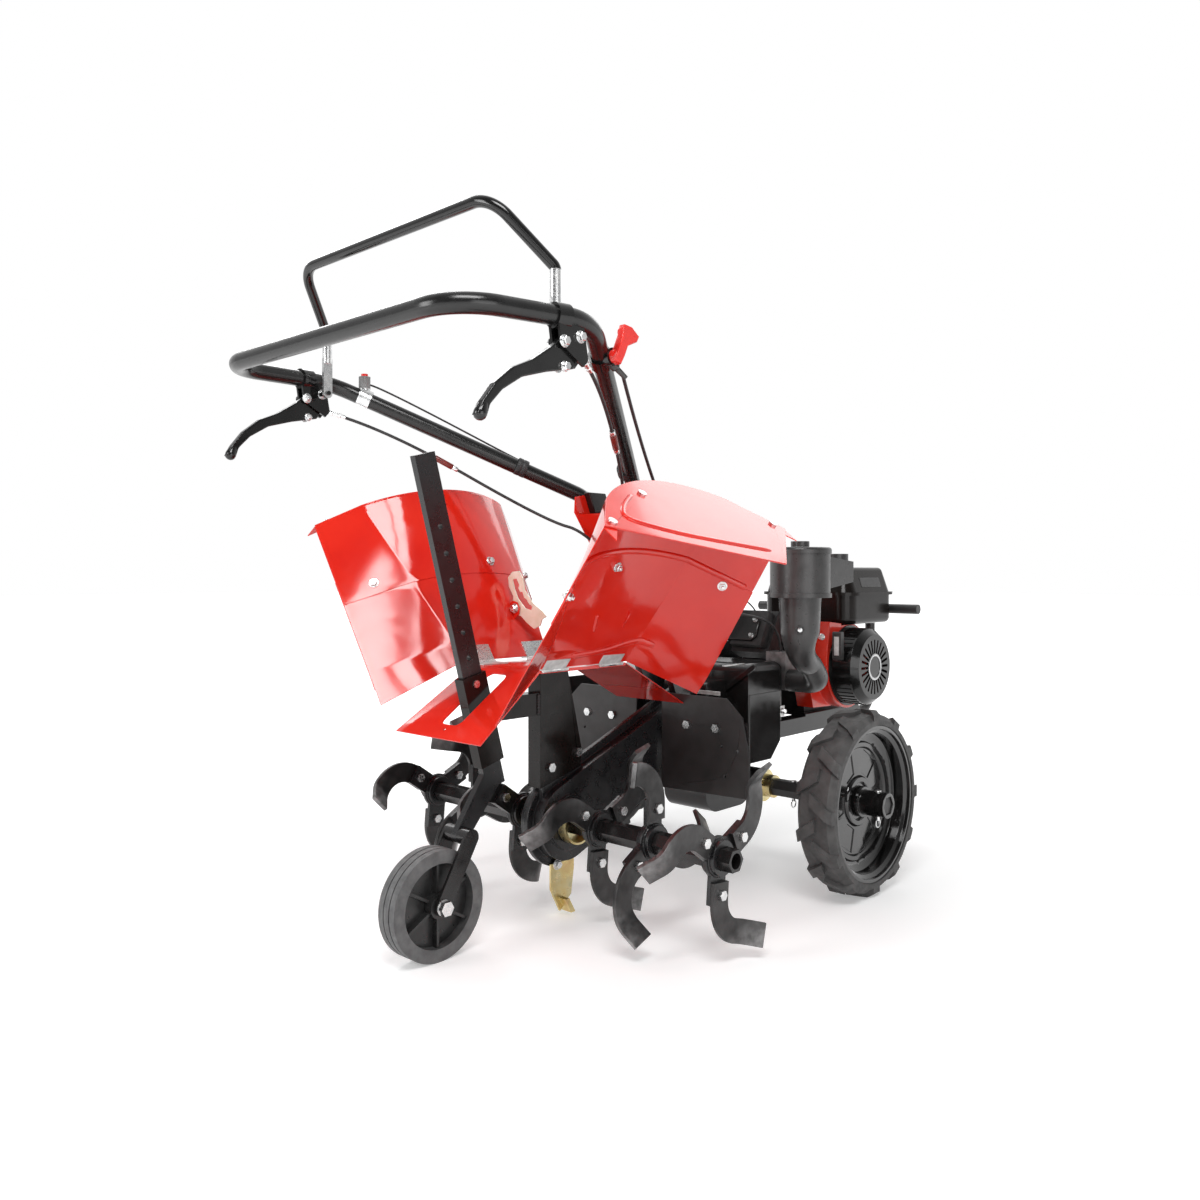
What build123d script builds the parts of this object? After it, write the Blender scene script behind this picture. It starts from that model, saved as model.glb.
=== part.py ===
from build123d import *
import math
import os

# Rear-tine garden tiller. All sizes are in millimetres.
# Places are measured from the middle of the wheel axle: X to the machine's right, Y forward, Z up from
# the ground. At the end every piece moves along X and Y so that the origin lies under the middle of the box;
# the shift along X is there because the two wings are folded up to different angles.

# General sizes
SHEET = 2.0
PLATE = 4.0
CLEAR = 0.3
RUN = 0.05
BOLT_R = 5.0
BOLT_HEAD_FLATS = 17.0
BOLT_HEAD_HEIGHT = 7.0
BOLT_HOLE_R = BOLT_R + CLEAR

# Wheels and axle
WHEEL_R = 200.0
TYRE_WIDTH = 86.0
TYRE_DEPTH = 32.0
TYRE_SHOULDER = 12.0
LUG_HEIGHT = 9.0
LUG_COUNT = 12
LUG_BREADTH = 26.0
LUG_SKEW = 34.0
LUG_PAST_MIDDLE = 6.0
WHEEL_X = 380.0
RIM_WALL = 4.2
RIM_LIP = 8.0
RIM_STEP = 9.0
RIM_STEP_WIDTH = 28.0
RIM_DISH = 18.0
RIM_SIDE_GAP = 2.0
RIM_POCKETS = 6
RIM_POCKET_IN_R = 62.0
RIM_POCKET_OUT_R = 112.0
RIM_POCKET_DEG = 32.0
RIM_POCKET_DEPTH = 2.2
HUB_R = 27.0
HUB_COLLAR_R = 33.0
HUB_INNER_LENGTH = 40.0
HUB_OUTER_LENGTH = 70.0
AXLE_FLATS = 36.0
AXLE_JOURNAL_R = 17.5
AXLE_FLANGE_R = 38.0
AXLE_FLANGE_THICK = 7.0
AXLE_SLEEVE_R = 26.0
AXLE_SLEEVE_LENGTH = 34.0
AXLE_PIN_R = 4.0
AXLE_PIN_X = 215.0
HUB_PIN_INSET = 25.0
PIN_STAND = 8.0
PIN_HEAD_R = 7.0
PIN_HEAD_HEIGHT = 3.0
CLIP_WIRE_R = 1.5
CLIP_LOOP_R = 9.0
AXLE_END_INSET = 4.0

# Gearbox and its shafts
GEARBOX_HALF = 62.0
GEARBOX_REAR_Y = -130.0
GEARBOX_FRONT_Y = 50.0
GEARBOX_LOW_Z = 140.0
GEARBOX_TOP_Z = 445.0
GEARBOX_WALL = 6.0
GEARBOX_ROUND = 12.0
GEARBOX_BELLY_ROUND = 45.0
UPPER_CASE_X1 = 124.0
UPPER_CASE_REAR_Y = -50.0
UPPER_CASE_FRONT_Y = 90.0
UPPER_CASE_TOP_Z = 486.0
UPPER_CASE_ROUND = 22.0
AXLE_TUBE_R = 38.0
AXLE_TUBE_END = 130.0
SHAFT_Y = -60.0
SHAFT_Z = 380.0
SHAFT_R = 12.0
SHAFT_BOSS_R = 24.0
SHAFT_BOSS_END = 80.0
CASE_MOUTH_LOW = 288.0
CASE_MOUTH_TOP = 418.0
LUG_LOW_Z = 305.0
LUG_TOP_Z = 335.0
LUG_REAR_Y = -60.0
LUG_FRONT_Y = 20.0

# Tine rotor
ROTOR_Y = -545.0
ROTOR_Z = 195.0
ROTOR_FLATS = 38.0
ROTOR_HALF = 440.0
ROTOR_BORE_R = 14.0
ROTOR_BORE_DEPTH = 120.0
ROTOR_JOURNAL_R = 26.0
ROTOR_JOURNAL_PAST = 1.0
TINE_HUB_X = (110.0, 250.0, 400.0)
TINE_HUB_PHASE_DEG = (25.0, 90.0, 25.0)
TINES_PER_HUB = 3
TINE_BENDS = ((1, -1, 1), (1, 1, -1), (1, -1, 1))
TINE_HUB_R = 38.0
TINE_HUB_BOSS_R = 32.0
TINE_HUB_HALF = 14.0
TINE_HUB_PLATE = 8.0
LOBE_R = 82.0
LOBE_WIDTH = 44.0
TINE_BOLT_AT_R = 64.0
TINE_WIDTH = 44.0
TINE_THICK = 8.0
TINE_ROOT_R = 42.0
TINE_STRAIGHT_R = 74.0
TINE_CURVE_R = 62.0
TINE_CURVE_DEG = 80.0
TINE_BEND_R = 36.0
TINE_BEND_DEG = 44.0
TINE_TIP = 30.0
COLLAR_R = 41.0
COLLAR_WALL = 4.0
COLLAR_LENGTH = 21.0
COLLAR_GAP = 3.0

# Chain case and drive chain
CASE_R = 78.0
CASE_HALF = 30.0
CASE_WALL = 5.0
CASE_FLANGE = 16.0
CASE_FLANGE_HALF = 6.0
CASE_BOSS_R = 56.0
CASE_BOSS = 6.0
CASE_LUG = ((-604.0, 240.0), (-604.0, 335.0), (-560.0, 352.0), (-500.0, 352.0), (-494.0, 310.0),
            (-494.0, 288.0))
SPROCKET_R = 44.0
SPROCKET_HALF = 5.0
CHAIN_HEIGHT = 11.0
CHAIN_HALF = 6.0
BLADE_OUTLINE = ((-33.0, 10.0), (-33.0, -41.0), (-7.0, -90.0), (25.0, -61.0), (33.0, -9.0), (33.0, 10.0))
BLADE_THICK = 5.0
BLADE_SHARE_WIDTH = 40.0
BLADE_SHARE = ((-10.0, -62.0), (2.0, -62.0), (20.0, -93.0), (8.0, -93.0))

# Frame
RAIL_IN_X = 90.0
RAIL_SIZE = 40.0
RAIL_LOW_Z = 300.0
RAIL_WALL = 3.0
RAIL_REAR_Y = -256.0
RAIL_FRONT_Y = 470.0
ENGINE_PLATE_THICK = 6.0
ENGINE_PLATE_REAR = 190.0
ENGINE_PLATE_FRONT = 460.0
ARM_END_X = 266.0
ARM_DEPTH = 34.0
ARM_HEIGHT = 40.0
COLUMN_GAP = 3.0
COLUMN_THICK = 17.0
COLUMN_DEPTH = 48.0
COLUMN_FOOT_Y = -165.0
COLUMN_TOP_BACK = 8.0
COLUMN_TOP_RISE = 10.0
RETURN_PLATE_FRONT_Y = -140.0
RETURN_PLATE_LOW_Z = 302.0
RETURN_PLATE_TOP_Z = 445.0
RETURN_PLATE_CUT = 36.0

# Front lifting bar
BUMPER_R = 13.0
BUMPER_Y = 560.0
BUMPER_Z = 600.0
BUMPER_HALF = 252.0
BUMPER_BEND_R = 60.0

# Guard plates ahead of the tines
GUARD_GAP = 7.0
GUARD_THICK = 4.0
GUARD_OUT_X = 271.0
GUARD_LOW_Z = 228.0
GUARD_EDGE = ((271.0, 317.0), (254.0, 396.0), (213.0, 433.0))
GUARD_BOLT_X = (110.0, 188.0)
GUARD_BOLT_Z = 368.0
GUARD_HOLE_R = 3.0
GUARD_HOLES = ((201.0, 330.0), (241.0, 325.0), (209.0, 268.0))

# Centre cover and wings: outlines in (Y, height above the hinge line)
HINGE_X = 105.0
HINGE_Z = 516.0
HINGE_GAP = 7.0
COVER_REAR = (-858.0, -116.0)
COVER_CREASE_REAR = (-690.0, 0.0)
COVER_CREASE_FRONT = (-450.0, 0.0)
COVER_FRONT_DROP = 0.529
COVER_FLARE = 25.0
WING_SPAN = 394.0
WING_FOLD_RIGHT_DEG = 52.0
WING_FOLD_LEFT_DEG = 57.0
WING_ROOT_FLAT = 46.0
WING_SEAM = 201.0
WING_LAP = 54.0
WING_LAP_BITE = 0.2
WING_FLANGE = 34.0
WING_FLANGE_THICK = 2.0
WING_BOLT_INSET = 18.0
WING_BOLT_SHARES = ((0, 0.36), (1, 0.55), (3, 0.68))
WING_ROOT = ((-860.0, -93.0), (-705.0, 0.0), (-585.0, 0.6), (-465.0, 0.0), (-347.0, -113.0))
WING_TIP = ((-865.0, -94.0), (-795.0, -16.0), (-598.0, 58.0), (-435.0, 18.0), (-337.0, -74.0))
WING_TAIL_PAST = 26.0
END_PLATE_THICK = 3.0
END_PLATE_LOW = (-471.0, -186.0)
HINGE_Y = (-658.0, -501.0)
HINGE_LENGTH = 64.0
HINGE_LEAF = 34.0
HINGE_LEAF_THICK = 2.0
HINGE_KNUCKLE_R = 4.5
HINGE_PIN_R = 2.2
HINGE_KNUCKLE_SHARE = 0.3
HINGE_LEAF_GAP = 0.8
WING_ROOT_SAG = 0.8
WING_BOLT_R = 4.0
WING_BOLT_HEAD_R = 8.0
WING_BOLT_HEAD = 4.0

# Rear post, drawbar and depth wheel
POST_THICK = 4.0
POST_IN_X = 14.0
POST_REAR_Y = -614.0
POST_LOW_Z = 270.0
POST_FRONT = ((-538.0, 504.0), (-535.0, 494.0), (-496.0, 334.0), (-500.0, 300.0))
POST_BACK_THICK = 5.0
POST_BOLTS = ((-510.0, 330.0), (-587.0, 309.0))
DRAWBAR_HALF = 16.0
DRAWBAR_LOW_Z = 416.0
DRAWBAR_TOP_Z = 460.0
BAR_LEAN_DEG = 15.2
BAR_Y = -786.0
BAR_Z = 534.0
BAR_DEPTH = 46.0
BAR_THICK = 14.0
BAR_ABOVE = 392.0
BAR_BELOW = 252.0
BAR_HOLES = 7
BAR_HOLE_PITCH = 50.5
BAR_HOLE_R = 5.25
SLEEVE_WALL = 5.0
SLEEVE_ABOVE = 28.0
SLEEVE_BELOW = 205.0
SLEEVE_PIN_DOWN = 17.0
SLOT_ROOM = 14.0
SLOT_END_ROOM = 37.0
SLOT_HOLE_R = 3.0
SLOT_HOLE_GAP = 10.0
DEPTH_WHEEL_R = 100.0
DEPTH_WHEEL_WIDTH = 46.0
DEPTH_WHEEL_Y = -867.0
DEPTH_RIM_R = 76.0
DEPTH_HUB_R = 22.0
DEPTH_RIBS = 6
DEPTH_RIB_THICK = 5.0
DEPTH_RIB_WIDTH = 34.0
DEPTH_WEB = 8.0
DEPTH_GROOVE_X = 8.0
DEPTH_GROOVE_WIDTH = 3.0
DEPTH_GROOVE = 2.0
DEPTH_BOLT_FLATS = 24.0
DEPTH_BOLT_HEAD = 12.0
DEPTH_AXLE_R = 6.0
FORK_GAP = 5.0
FORK_THICK = 6.0
FORK_WIDTH = 32.0
FORK_TOP_Y = -802.0
FORK_TOP_Z = 212.0

# Handlebar and controls
HANDLE_R = 16.0
HANDLE_WALL = 2.0
HANDLE_REAR_Y = -1090.0
HANDLE_REAR_Z = 1087.0
HANDLE_REAR_X = 343.0
HANDLE_REAR_BEND = 85.0
GRIP_X = 376.0
GRIP_Y = -845.0
GRIP_Z = 1093.0
GRIP_BEND = 110.0
ARM_Y = -386.0
ARM_Z = 862.0
ARM_BEND = 60.0
ARM_FOOT_AHEAD = 34.0
ARM_FOOT_DROP = 76.0
BRACKET_THICK = 4.0
BRACKET_OUTLINE = ((64.0, -102.0), (-10.0, -102.0), (-60.0, -34.0), (-58.0, 0.0), (-24.0, 6.0), (20.0, -12.0))
BRACKET_BRIDGE = ((-12.0, -98.0), (-16.0, -98.0), (-56.0, -38.0), (-52.0, -38.0))
BRACKET_BOLTS = (0.25, 0.6)
LEVER_X = 368.0
LEVER_Y = -893.0
LEVER_Z = 1052.0
LEVER_WIDTH = 14.0
LEVER_PIN_R = 4.0
LEVER_EYE_R = 13.0
LEVER_OUTLINE = ((-886.0, 1060.0), (-908.0, 1060.0), (-927.0, 1042.0), (-969.0, 1015.0), (-1008.0, 998.0),
                 (-1042.0, 971.0), (-1065.0, 942.0), (-1076.0, 921.0), (-1056.0, 923.0), (-1051.0, 938.0),
                 (-1028.0, 962.0), (-989.0, 986.0), (-938.0, 1001.0), (-882.0, 1013.0), (-874.0, 1028.0))
CHEEK_THICK = 5.0
CHEEK_OUTLINE = ((-866.0, 1084.0), (-920.0, 1084.0), (-914.0, 1046.0), (-895.0, 1034.0), (-866.0, 1018.0),
                 (-856.0, 1030.0))
CLAMP_ALONG = 0.25
CLAMP_RING = 4.0
CLAMP_LENGTH = 26.0
BAIL_R = 9.5
BAIL_TOP_X = 273.0
BAIL_TOP_Y = -965.0
BAIL_TOP_Z = 1283.0
BAIL_BEND = 60.0
BAIL_KINK_BEND = 15.0
BAIL_KINK_Z = 1180.0
BAIL_FOOT_X = 330.0
BAIL_PIVOT_Y = -878.0
BAIL_PIVOT_Z = 1062.0
BAIL_FOOT_THICK = 6.0
BAIL_FOOT_WIDTH = 20.0
BAIL_PIN_R = 4.5
THROTTLE_ALONG = 0.17
THROTTLE_DISC_R = 15.0
THROTTLE_DISC_REACH = 28.0
THROTTLE_LEAN_DEG = 25.0
THROTTLE_LEVER_THICK = 8.0
THROTTLE_LEVER_LENGTH = 46.0
THROTTLE_LEVER_WIDTH = 13.0
THROTTLE_HUB_R = 11.0
THROTTLE_KNOB_R = 10.0
THROTTLE_PIN_R = 3.0
SWITCH_ALONG = 0.13
SWITCH_R = 12.0
SWITCH_HEIGHT = 30.0
BUTTON_R = 7.0
BUTTON_STAND = 6.0
BUTTON_DEPTH = 12.0
CABLE_R = 3.2
WIRE_R = 2.0

# Engine
CRANK_Y = 320.0
CRANK_RISE = 116.0
BLOCK_X0 = -60.0
BLOCK_X1 = 100.0
BLOCK_REAR_Y = 232.0
BLOCK_FRONT_Y = 412.0
BLOCK_HEIGHT = 190.0
CHAMBER_R = 58.0
CHAMBER_WALL = 14.0
CYLINDER_X = 20.0
CYLINDER_TILT_DEG = 25.0
CYLINDER_R = 40.0
FIN_SIZE = 112.0
FIN_THICK = 3.0
FIN_PITCH = 9.0
FIN_COUNT = 7
FIN_START = 98.0
HEAD_START = 166.0
HEAD_LENGTH = 44.0
VALVE_COVER_LENGTH = 26.0
VALVE_COVER_SIZE = 92.0
CRANK_R = 12.5
CRANK_WEB_R = 48.0
CRANK_WEB = 16.0
CRANK_WEB_GAP = 22.0
FLYWHEEL_R = 76.0
FLYWHEEL_X = 112.0
FLYWHEEL_WIDTH = 34.0
FAN_BLADES = 12
FAN_BLADE_HEIGHT = 14.0
FAN_BLADE_LENGTH = 30.0
FAN_BLADE_THICK = 4.0
HOUSING_X1 = 178.0
HOUSING_R = 108.0
HOUSING_WALL = 3.0
HOUSING_EAR = ((208.0, 466.0), (226.0, 576.0), (282.0, 570.0), (320.0, 470.0))
HOUSING_MOUTH_R = 88.0
SHROUD_OUTLINE = ((161.0, 442.0), (190.0, 396.0), (200.0, 362.0), (300.0, 358.0), (300.0, 480.0),
                  (190.0, 474.0))
SHROUD_DEPTH = 46.0
RECOIL_R = 95.0
RECOIL_FLANGE_R = 102.0
RECOIL_FLANGE = 3.0
RECOIL_DEPTH = 56.0
RECOIL_DOME = 16.0
RECOIL_FACE_R = 81.0
RECOIL_WALL = 3.0
RECOIL_BADGE_R = 34.0
RECOIL_SLOTS = 24
RECOIL_SLOT_WIDTH = 6.0
RECOIL_SLOT_LENGTH = 34.0
ROPE_R = 2.2
ROPE_Z = 56.0
ROPE_X = 206.0
ROPE_LENGTH = 96.0
GRIP_BLOCK = (24.0, 15.0, 70.0)
TANK_X0 = -64.0
TANK_X1 = 198.0
TANK_REAR_Y = 286.0
TANK_FRONT_Y = 528.0
TANK_LOW_Z = 566.0
TANK_SEAM_Z = 644.0
TANK_TOP_Z = 712.0
TANK_ROUND = 38.0
TANK_EDGE = 14.0
TANK_DRAFT_DEG = 18.0
TANK_WALL = 3.0
TANK_FLANGE = 9.0
TANK_FLANGE_THICK = 4.0
TANK_LEG = 24.0
TANK_LEG_INSET = 16.0
CAP_X = 100.0
CAP_Y = 396.0
CAP_R = 30.0
CAP_HEIGHT = 36.0
CAP_NECK_R = 22.0
CAP_NECK_HEIGHT = 22.0
CLEANER_X = 232.0
CLEANER_Y = 0.0
CLEANER_R = 68.0
CLEANER_LOW_Z = 642.0
CLEANER_TOP_Z = 742.0
CLEANER_LID = 14.0
CLEANER_BAND_R = 71.0
CLEANER_BAND = 10.0
CLEANER_NECK_R = 48.0
CLEANER_FOOT_R = 44.0
CLEANER_FOOT_Z = 560.0
CLEANER_WALL = 3.0
CLEANER_KNOB_R = 21.0
CLEANER_KNOB = 14.0
SNOUT_REACH = 116.0
SNOUT_HALF = 34.0
ELBOW_R = 27.0
ELBOW_DROP = 30.0
ELBOW_IN = 17.0
ELBOW_BEND = 40.0
CARB_LENGTH = 56.0
CARB_HALF_Y = 22.0
CARB_HALF_Z = 46.0
CARB_AT = 182.0
CARB_DOWN = 88.0
MUFFLER_WIDTH = 100.0
MUFFLER_DEPTH = 146.0
MUFFLER_HEIGHT = 108.0
MUFFLER_AT = 190.0
MUFFLER_UP = 30.0
MUFFLER_PIPE = 22.0
MUFFLER_PIPE_R = 15.0
MUFFLER_ROUND = 18.0
MUFFLER_WALL = 2.5

# Belt drive on the left
BELT_X = -164.0
PULLEY_HALF = 12.0
PULLEY_GROOVE_HALF = 8.6
PULLEY_GROOVE = 11.0
CRANK_PULLEY_R = 38.0
INPUT_PULLEY_R = 90.0
BELT_HALF = 8.0
BELT_HEIGHT = 9.0
COVER_ROOM = 20.0
COVER_WALL = 2.0
COVER_SIDE_ROOM = 16.0
COVER_HOLE_R = 30.0

# Derived places
RAIL_OUT_X = RAIL_IN_X + RAIL_SIZE
RAIL_TOP_Z = RAIL_LOW_Z + RAIL_SIZE
ENGINE_BASE_Z = RAIL_TOP_Z + ENGINE_PLATE_THICK
CRANK_Z = ENGINE_BASE_Z + CRANK_RISE
RIM_R = WHEEL_R - TYRE_DEPTH
HUB_END_X = WHEEL_X + HUB_OUTER_LENGTH
SHAFT_END_X = BELT_X - PULLEY_HALF
BELT_COVER_X = SHAFT_END_X - COVER_SIDE_ROOM
GUARD_IN_X = CASE_HALF + GUARD_GAP
COLUMN_IN_X = CASE_HALF + COLUMN_GAP
COLUMN_OUT_X = COLUMN_IN_X + COLUMN_THICK
ARM_X = COLUMN_OUT_X + BRACKET_THICK + HANDLE_R
ARM_FOOT_Y = ARM_Y + ARM_FOOT_AHEAD
ARM_FOOT_Z = ARM_Z - ARM_FOOT_DROP
COLUMN_TOP_Y = ARM_Y - COLUMN_TOP_BACK
COLUMN_TOP_Z = ARM_Z + COLUMN_TOP_RISE
COVER_TOP_Z = HINGE_Z - HINGE_LEAF_THICK / 2
COVER_LOW_Z = COVER_TOP_Z - SHEET
FRONT_Y = BUMPER_Y + BUMPER_R
REAR_Y = HANDLE_REAR_Y - HANDLE_R
MIDDLE_Y = (FRONT_Y + REAR_Y) / 2
BAR_TILT = math.radians(BAR_LEAN_DEG)


def tip_reach(fold):
    """How far a folded wing reaches sideways from the machine's middle plane."""
    turn = math.radians(fold)
    return HINGE_X + (WING_SPAN + END_PLATE_THICK) * math.cos(turn) - END_PLATE_LOW[1] * math.sin(turn)


MIDDLE_X = (tip_reach(WING_FOLD_RIGHT_DEG) - tip_reach(WING_FOLD_LEFT_DEG)) / 2


# Helpers
def face_yz(points, x):
    """Flat face in a plane across X, with its outline given as (y, z) points."""
    return Plane.YZ.offset(x) * make_face(Polyline(*points, close=True))


def plate_x(points, x0, x1):
    """Plate with an outline in YZ, from x0 to x1."""
    return extrude(face_yz(points, x0), x1 - x0)


def block(x0, x1, y0, y1, z0, z1):
    return Pos((x0 + x1) / 2, (y0 + y1) / 2, (z0 + z1) / 2) * Box(x1 - x0, y1 - y0, z1 - z0)


def rod_x(radius, x0, x1, y, z):
    return Pos((x0 + x1) / 2, y, z) * Rot(0, 90, 0) * Cylinder(radius, x1 - x0)


def rod_y(radius, y0, y1, x, z):
    return Pos(x, (y0 + y1) / 2, z) * Rot(90, 0, 0) * Cylinder(radius, y1 - y0)


def rod_z(radius, z0, z1, x, y):
    return Pos(x, y, (z0 + z1) / 2) * Cylinder(radius, z1 - z0)


def hex_x(flats, x0, x1, y, z):
    plane = Plane((x0, y, z), x_dir=(0, 1, 0), z_dir=(1, 0, 0))
    return extrude(plane * RegularPolygon(flats / 2, 6, major_radius=False), x1 - x0)


def hex_y(flats, y0, y1, x, z):
    plane = Plane((x, y0, z), x_dir=(1, 0, 0), z_dir=(0, 1, 0))
    return extrude(plane * RegularPolygon(flats / 2, 6, major_radius=False), y1 - y0)


def hull_x(first, first_r, second, second_r, x0, x1):
    """Belt-shaped plate round two circles in YZ, from x0 to x1."""
    one = Pos(*first) * Circle(first_r)
    two = Pos(*second) * Circle(second_r)
    face = make_hull(one.edges() + two.edges())
    return extrude(Plane.YZ.offset(x0) * face, x1 - x0)


def mirrored(shape):
    return mirror(shape, Plane.YZ)


def pair(shape):
    return [shape, mirrored(shape)]


def pipe(points, radii, outer, inner=0.0):
    """Round tube or rod along straight runs joined by tangent arcs."""
    path = FilletPolyline(*points, radius=radii)
    plane = Plane(path @ 0, z_dir=path % 0)
    ring = Circle(outer)
    if inner > 0:
        ring = ring - Circle(inner)
    return sweep(plane * ring, path=path)


def cable(points, radius):
    """Flexible cable whose bends are as large as the runs beside them allow."""
    radii = []
    for before, here, after in zip(points, points[1:], points[2:]):
        run_in = Vector(*here) - Vector(*before)
        run_out = Vector(*after) - Vector(*here)
        turn = math.radians(run_in.get_angle(run_out))
        radii.append(0.45 * min(run_in.length, run_out.length) / math.tan(turn / 2))
    return pipe(points, radii, radius)


def through_bolt_x(x0, x1, y, z):
    """Bolt right through from x0 to x1, with a head and a nut on the outside."""
    head = hex_x(BOLT_HEAD_FLATS, x1, x1 + BOLT_HEAD_HEIGHT, y, z)
    nut = hex_x(BOLT_HEAD_FLATS, x0 - BOLT_HEAD_HEIGHT, x0, y, z)
    return head + nut + rod_x(BOLT_R, x0, x1, y, z)


def turned(points, x, y, z):
    """Solid of revolution about a line along X; points are (x, radius)."""
    face = make_face(Polyline(*points, close=True))
    return Pos(x, y, z) * revolve(face, Axis.X)


# Drive wheels
def tyre():
    half = TYRE_WIDTH / 2
    base_r = WHEEL_R - LUG_HEIGHT
    inner_r = RIM_R + CLEAR
    side_r = base_r - TYRE_SHOULDER
    outline = [(-half, inner_r), (half, inner_r), (half, side_r), (half - TYRE_SHOULDER, base_r),
               (TYRE_SHOULDER - half, base_r), (-half, side_r)]
    ring = turned(outline, 0, 0, 0)
    shoulder = [(-half, inner_r), (half, inner_r), (half, base_r), (half - TYRE_SHOULDER, WHEEL_R),
                (TYRE_SHOULDER - half, WHEEL_R), (-half, base_r)]
    envelope = turned(shoulder, 0, 0, 0)
    lugs = []
    for side in (1, -1):
        outer = side * half
        inner = -side * LUG_PAST_MIDDLE
        breadth = LUG_BREADTH / 2
        corners = [(outer, -breadth), (outer, breadth), (inner, LUG_SKEW + breadth),
                   (inner, LUG_SKEW - breadth)]
        face = Pos(0, 0, side_r) * make_face(Polyline(*corners, close=True))
        bar = extrude(face, LUG_HEIGHT + 2 * TYRE_SHOULDER) & envelope
        for index in range(LUG_COUNT):
            turn = (index + (0 if side > 0 else 0.5)) * 360 / LUG_COUNT
            lugs.append(Rot(turn, 0, 0) * bar)
    return Pos(WHEEL_X, 0, WHEEL_R) * (ring + lugs)


def rim():
    half = TYRE_WIDTH / 2 - RIM_SIDE_GAP
    top = RIM_R
    lip = top - RIM_LIP
    step = lip - RIM_STEP
    dish = step - RIM_DISH
    outer = half - RIM_LIP
    inner = outer - RIM_STEP_WIDTH
    web = inner - RIM_LIP
    outline = [(-half, top), (half, top), (half, lip), (outer, lip), (outer - RIM_WALL, step), (inner, step),
               (web, dish), (web, HUB_R), (web - RIM_WALL, HUB_R), (web - RIM_WALL, dish + RIM_WALL),
               (inner - RIM_WALL, step + RIM_WALL), (outer - 2 * RIM_WALL, step + RIM_WALL),
               (outer - RIM_WALL, top - RIM_WALL), (-half, top - RIM_WALL)]
    shell = turned(outline, 0, 0, 0)
    hub = rod_x(HUB_R, -HUB_INNER_LENGTH, HUB_OUTER_LENGTH, 0, 0)
    collar = rod_x(HUB_COLLAR_R, web - HUB_COLLAR_R / 2, web + HUB_COLLAR_R / 2, 0, 0)
    body = shell + hub + collar
    body = body - hex_x(AXLE_FLATS + 2 * CLEAR, -HUB_INNER_LENGTH, HUB_OUTER_LENGTH, 0, 0)
    spread = math.radians(RIM_POCKET_DEG / 2)
    for index in range(RIM_POCKETS):
        middle = math.radians(index * 360 / RIM_POCKETS)
        corners = []
        for radius, sign in ((RIM_POCKET_IN_R, -1), (RIM_POCKET_OUT_R, -1), (RIM_POCKET_OUT_R, 1),
                             (RIM_POCKET_IN_R, 1)):
            angle = middle + sign * spread
            corners.append((radius * math.cos(angle), radius * math.sin(angle)))
        body = body - plate_x(corners, web - RIM_POCKET_DEPTH, web + RIM_WALL)
    pin_x = HUB_OUTER_LENGTH - HUB_PIN_INSET
    body = body - rod_z(AXLE_PIN_R + CLEAR, -HUB_COLLAR_R, HUB_COLLAR_R, pin_x, 0)
    return Pos(WHEEL_X, 0, WHEEL_R) * body


def pin_places():
    """Places of the clevis pins as (x, height of the seat above the axle line)."""
    return ((HUB_END_X - HUB_PIN_INSET, HUB_R), (AXLE_PIN_X, AXLE_FLATS / 2))


def hex_axle():
    reach = HUB_END_X - AXLE_END_INSET
    bar = rod_x(AXLE_JOURNAL_R, -AXLE_TUBE_END, AXLE_TUBE_END, 0, WHEEL_R)
    for side in (1, -1):
        bar = bar + hex_x(AXLE_FLATS, *sorted((side * (AXLE_TUBE_END + CLEAR), side * reach)), 0, WHEEL_R)
        bar = bar + rod_x(AXLE_JOURNAL_R, *sorted((side * AXLE_TUBE_END, side * AXLE_PIN_X)), 0, WHEEL_R)
    for x, seat in pin_places():
        for side in (1, -1):
            bar = bar - rod_z(AXLE_PIN_R + CLEAR, WHEEL_R - HUB_R, WHEEL_R + HUB_R, side * x, 0)
    return bar


def axle_flange():
    start = AXLE_TUBE_END + 2 * CLEAR
    flange = rod_x(AXLE_FLANGE_R, start, start + AXLE_FLANGE_THICK, 0, WHEEL_R)
    flange = flange + rod_x(AXLE_SLEEVE_R, start, start + AXLE_SLEEVE_LENGTH, 0, WHEEL_R)
    return flange - hex_x(AXLE_FLATS + 2 * CLEAR, start, start + AXLE_SLEEVE_LENGTH, 0, WHEEL_R)


def wheel_pin(x, seat):
    """Clevis pin with its spring clip hanging from the lower end."""
    top = WHEEL_R + seat
    low = WHEEL_R - seat - PIN_STAND
    pin = rod_z(AXLE_PIN_R, low, top, x, 0) + rod_z(PIN_HEAD_R, top, top + PIN_HEAD_HEIGHT, x, 0)
    loop_z = low + CLIP_WIRE_R + AXLE_PIN_R / 2 - CLIP_LOOP_R
    loop = Pos(x, 0, loop_z) * Rot(0, 90, 0) * Torus(CLIP_LOOP_R, CLIP_WIRE_R)
    return pin + loop


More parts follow.
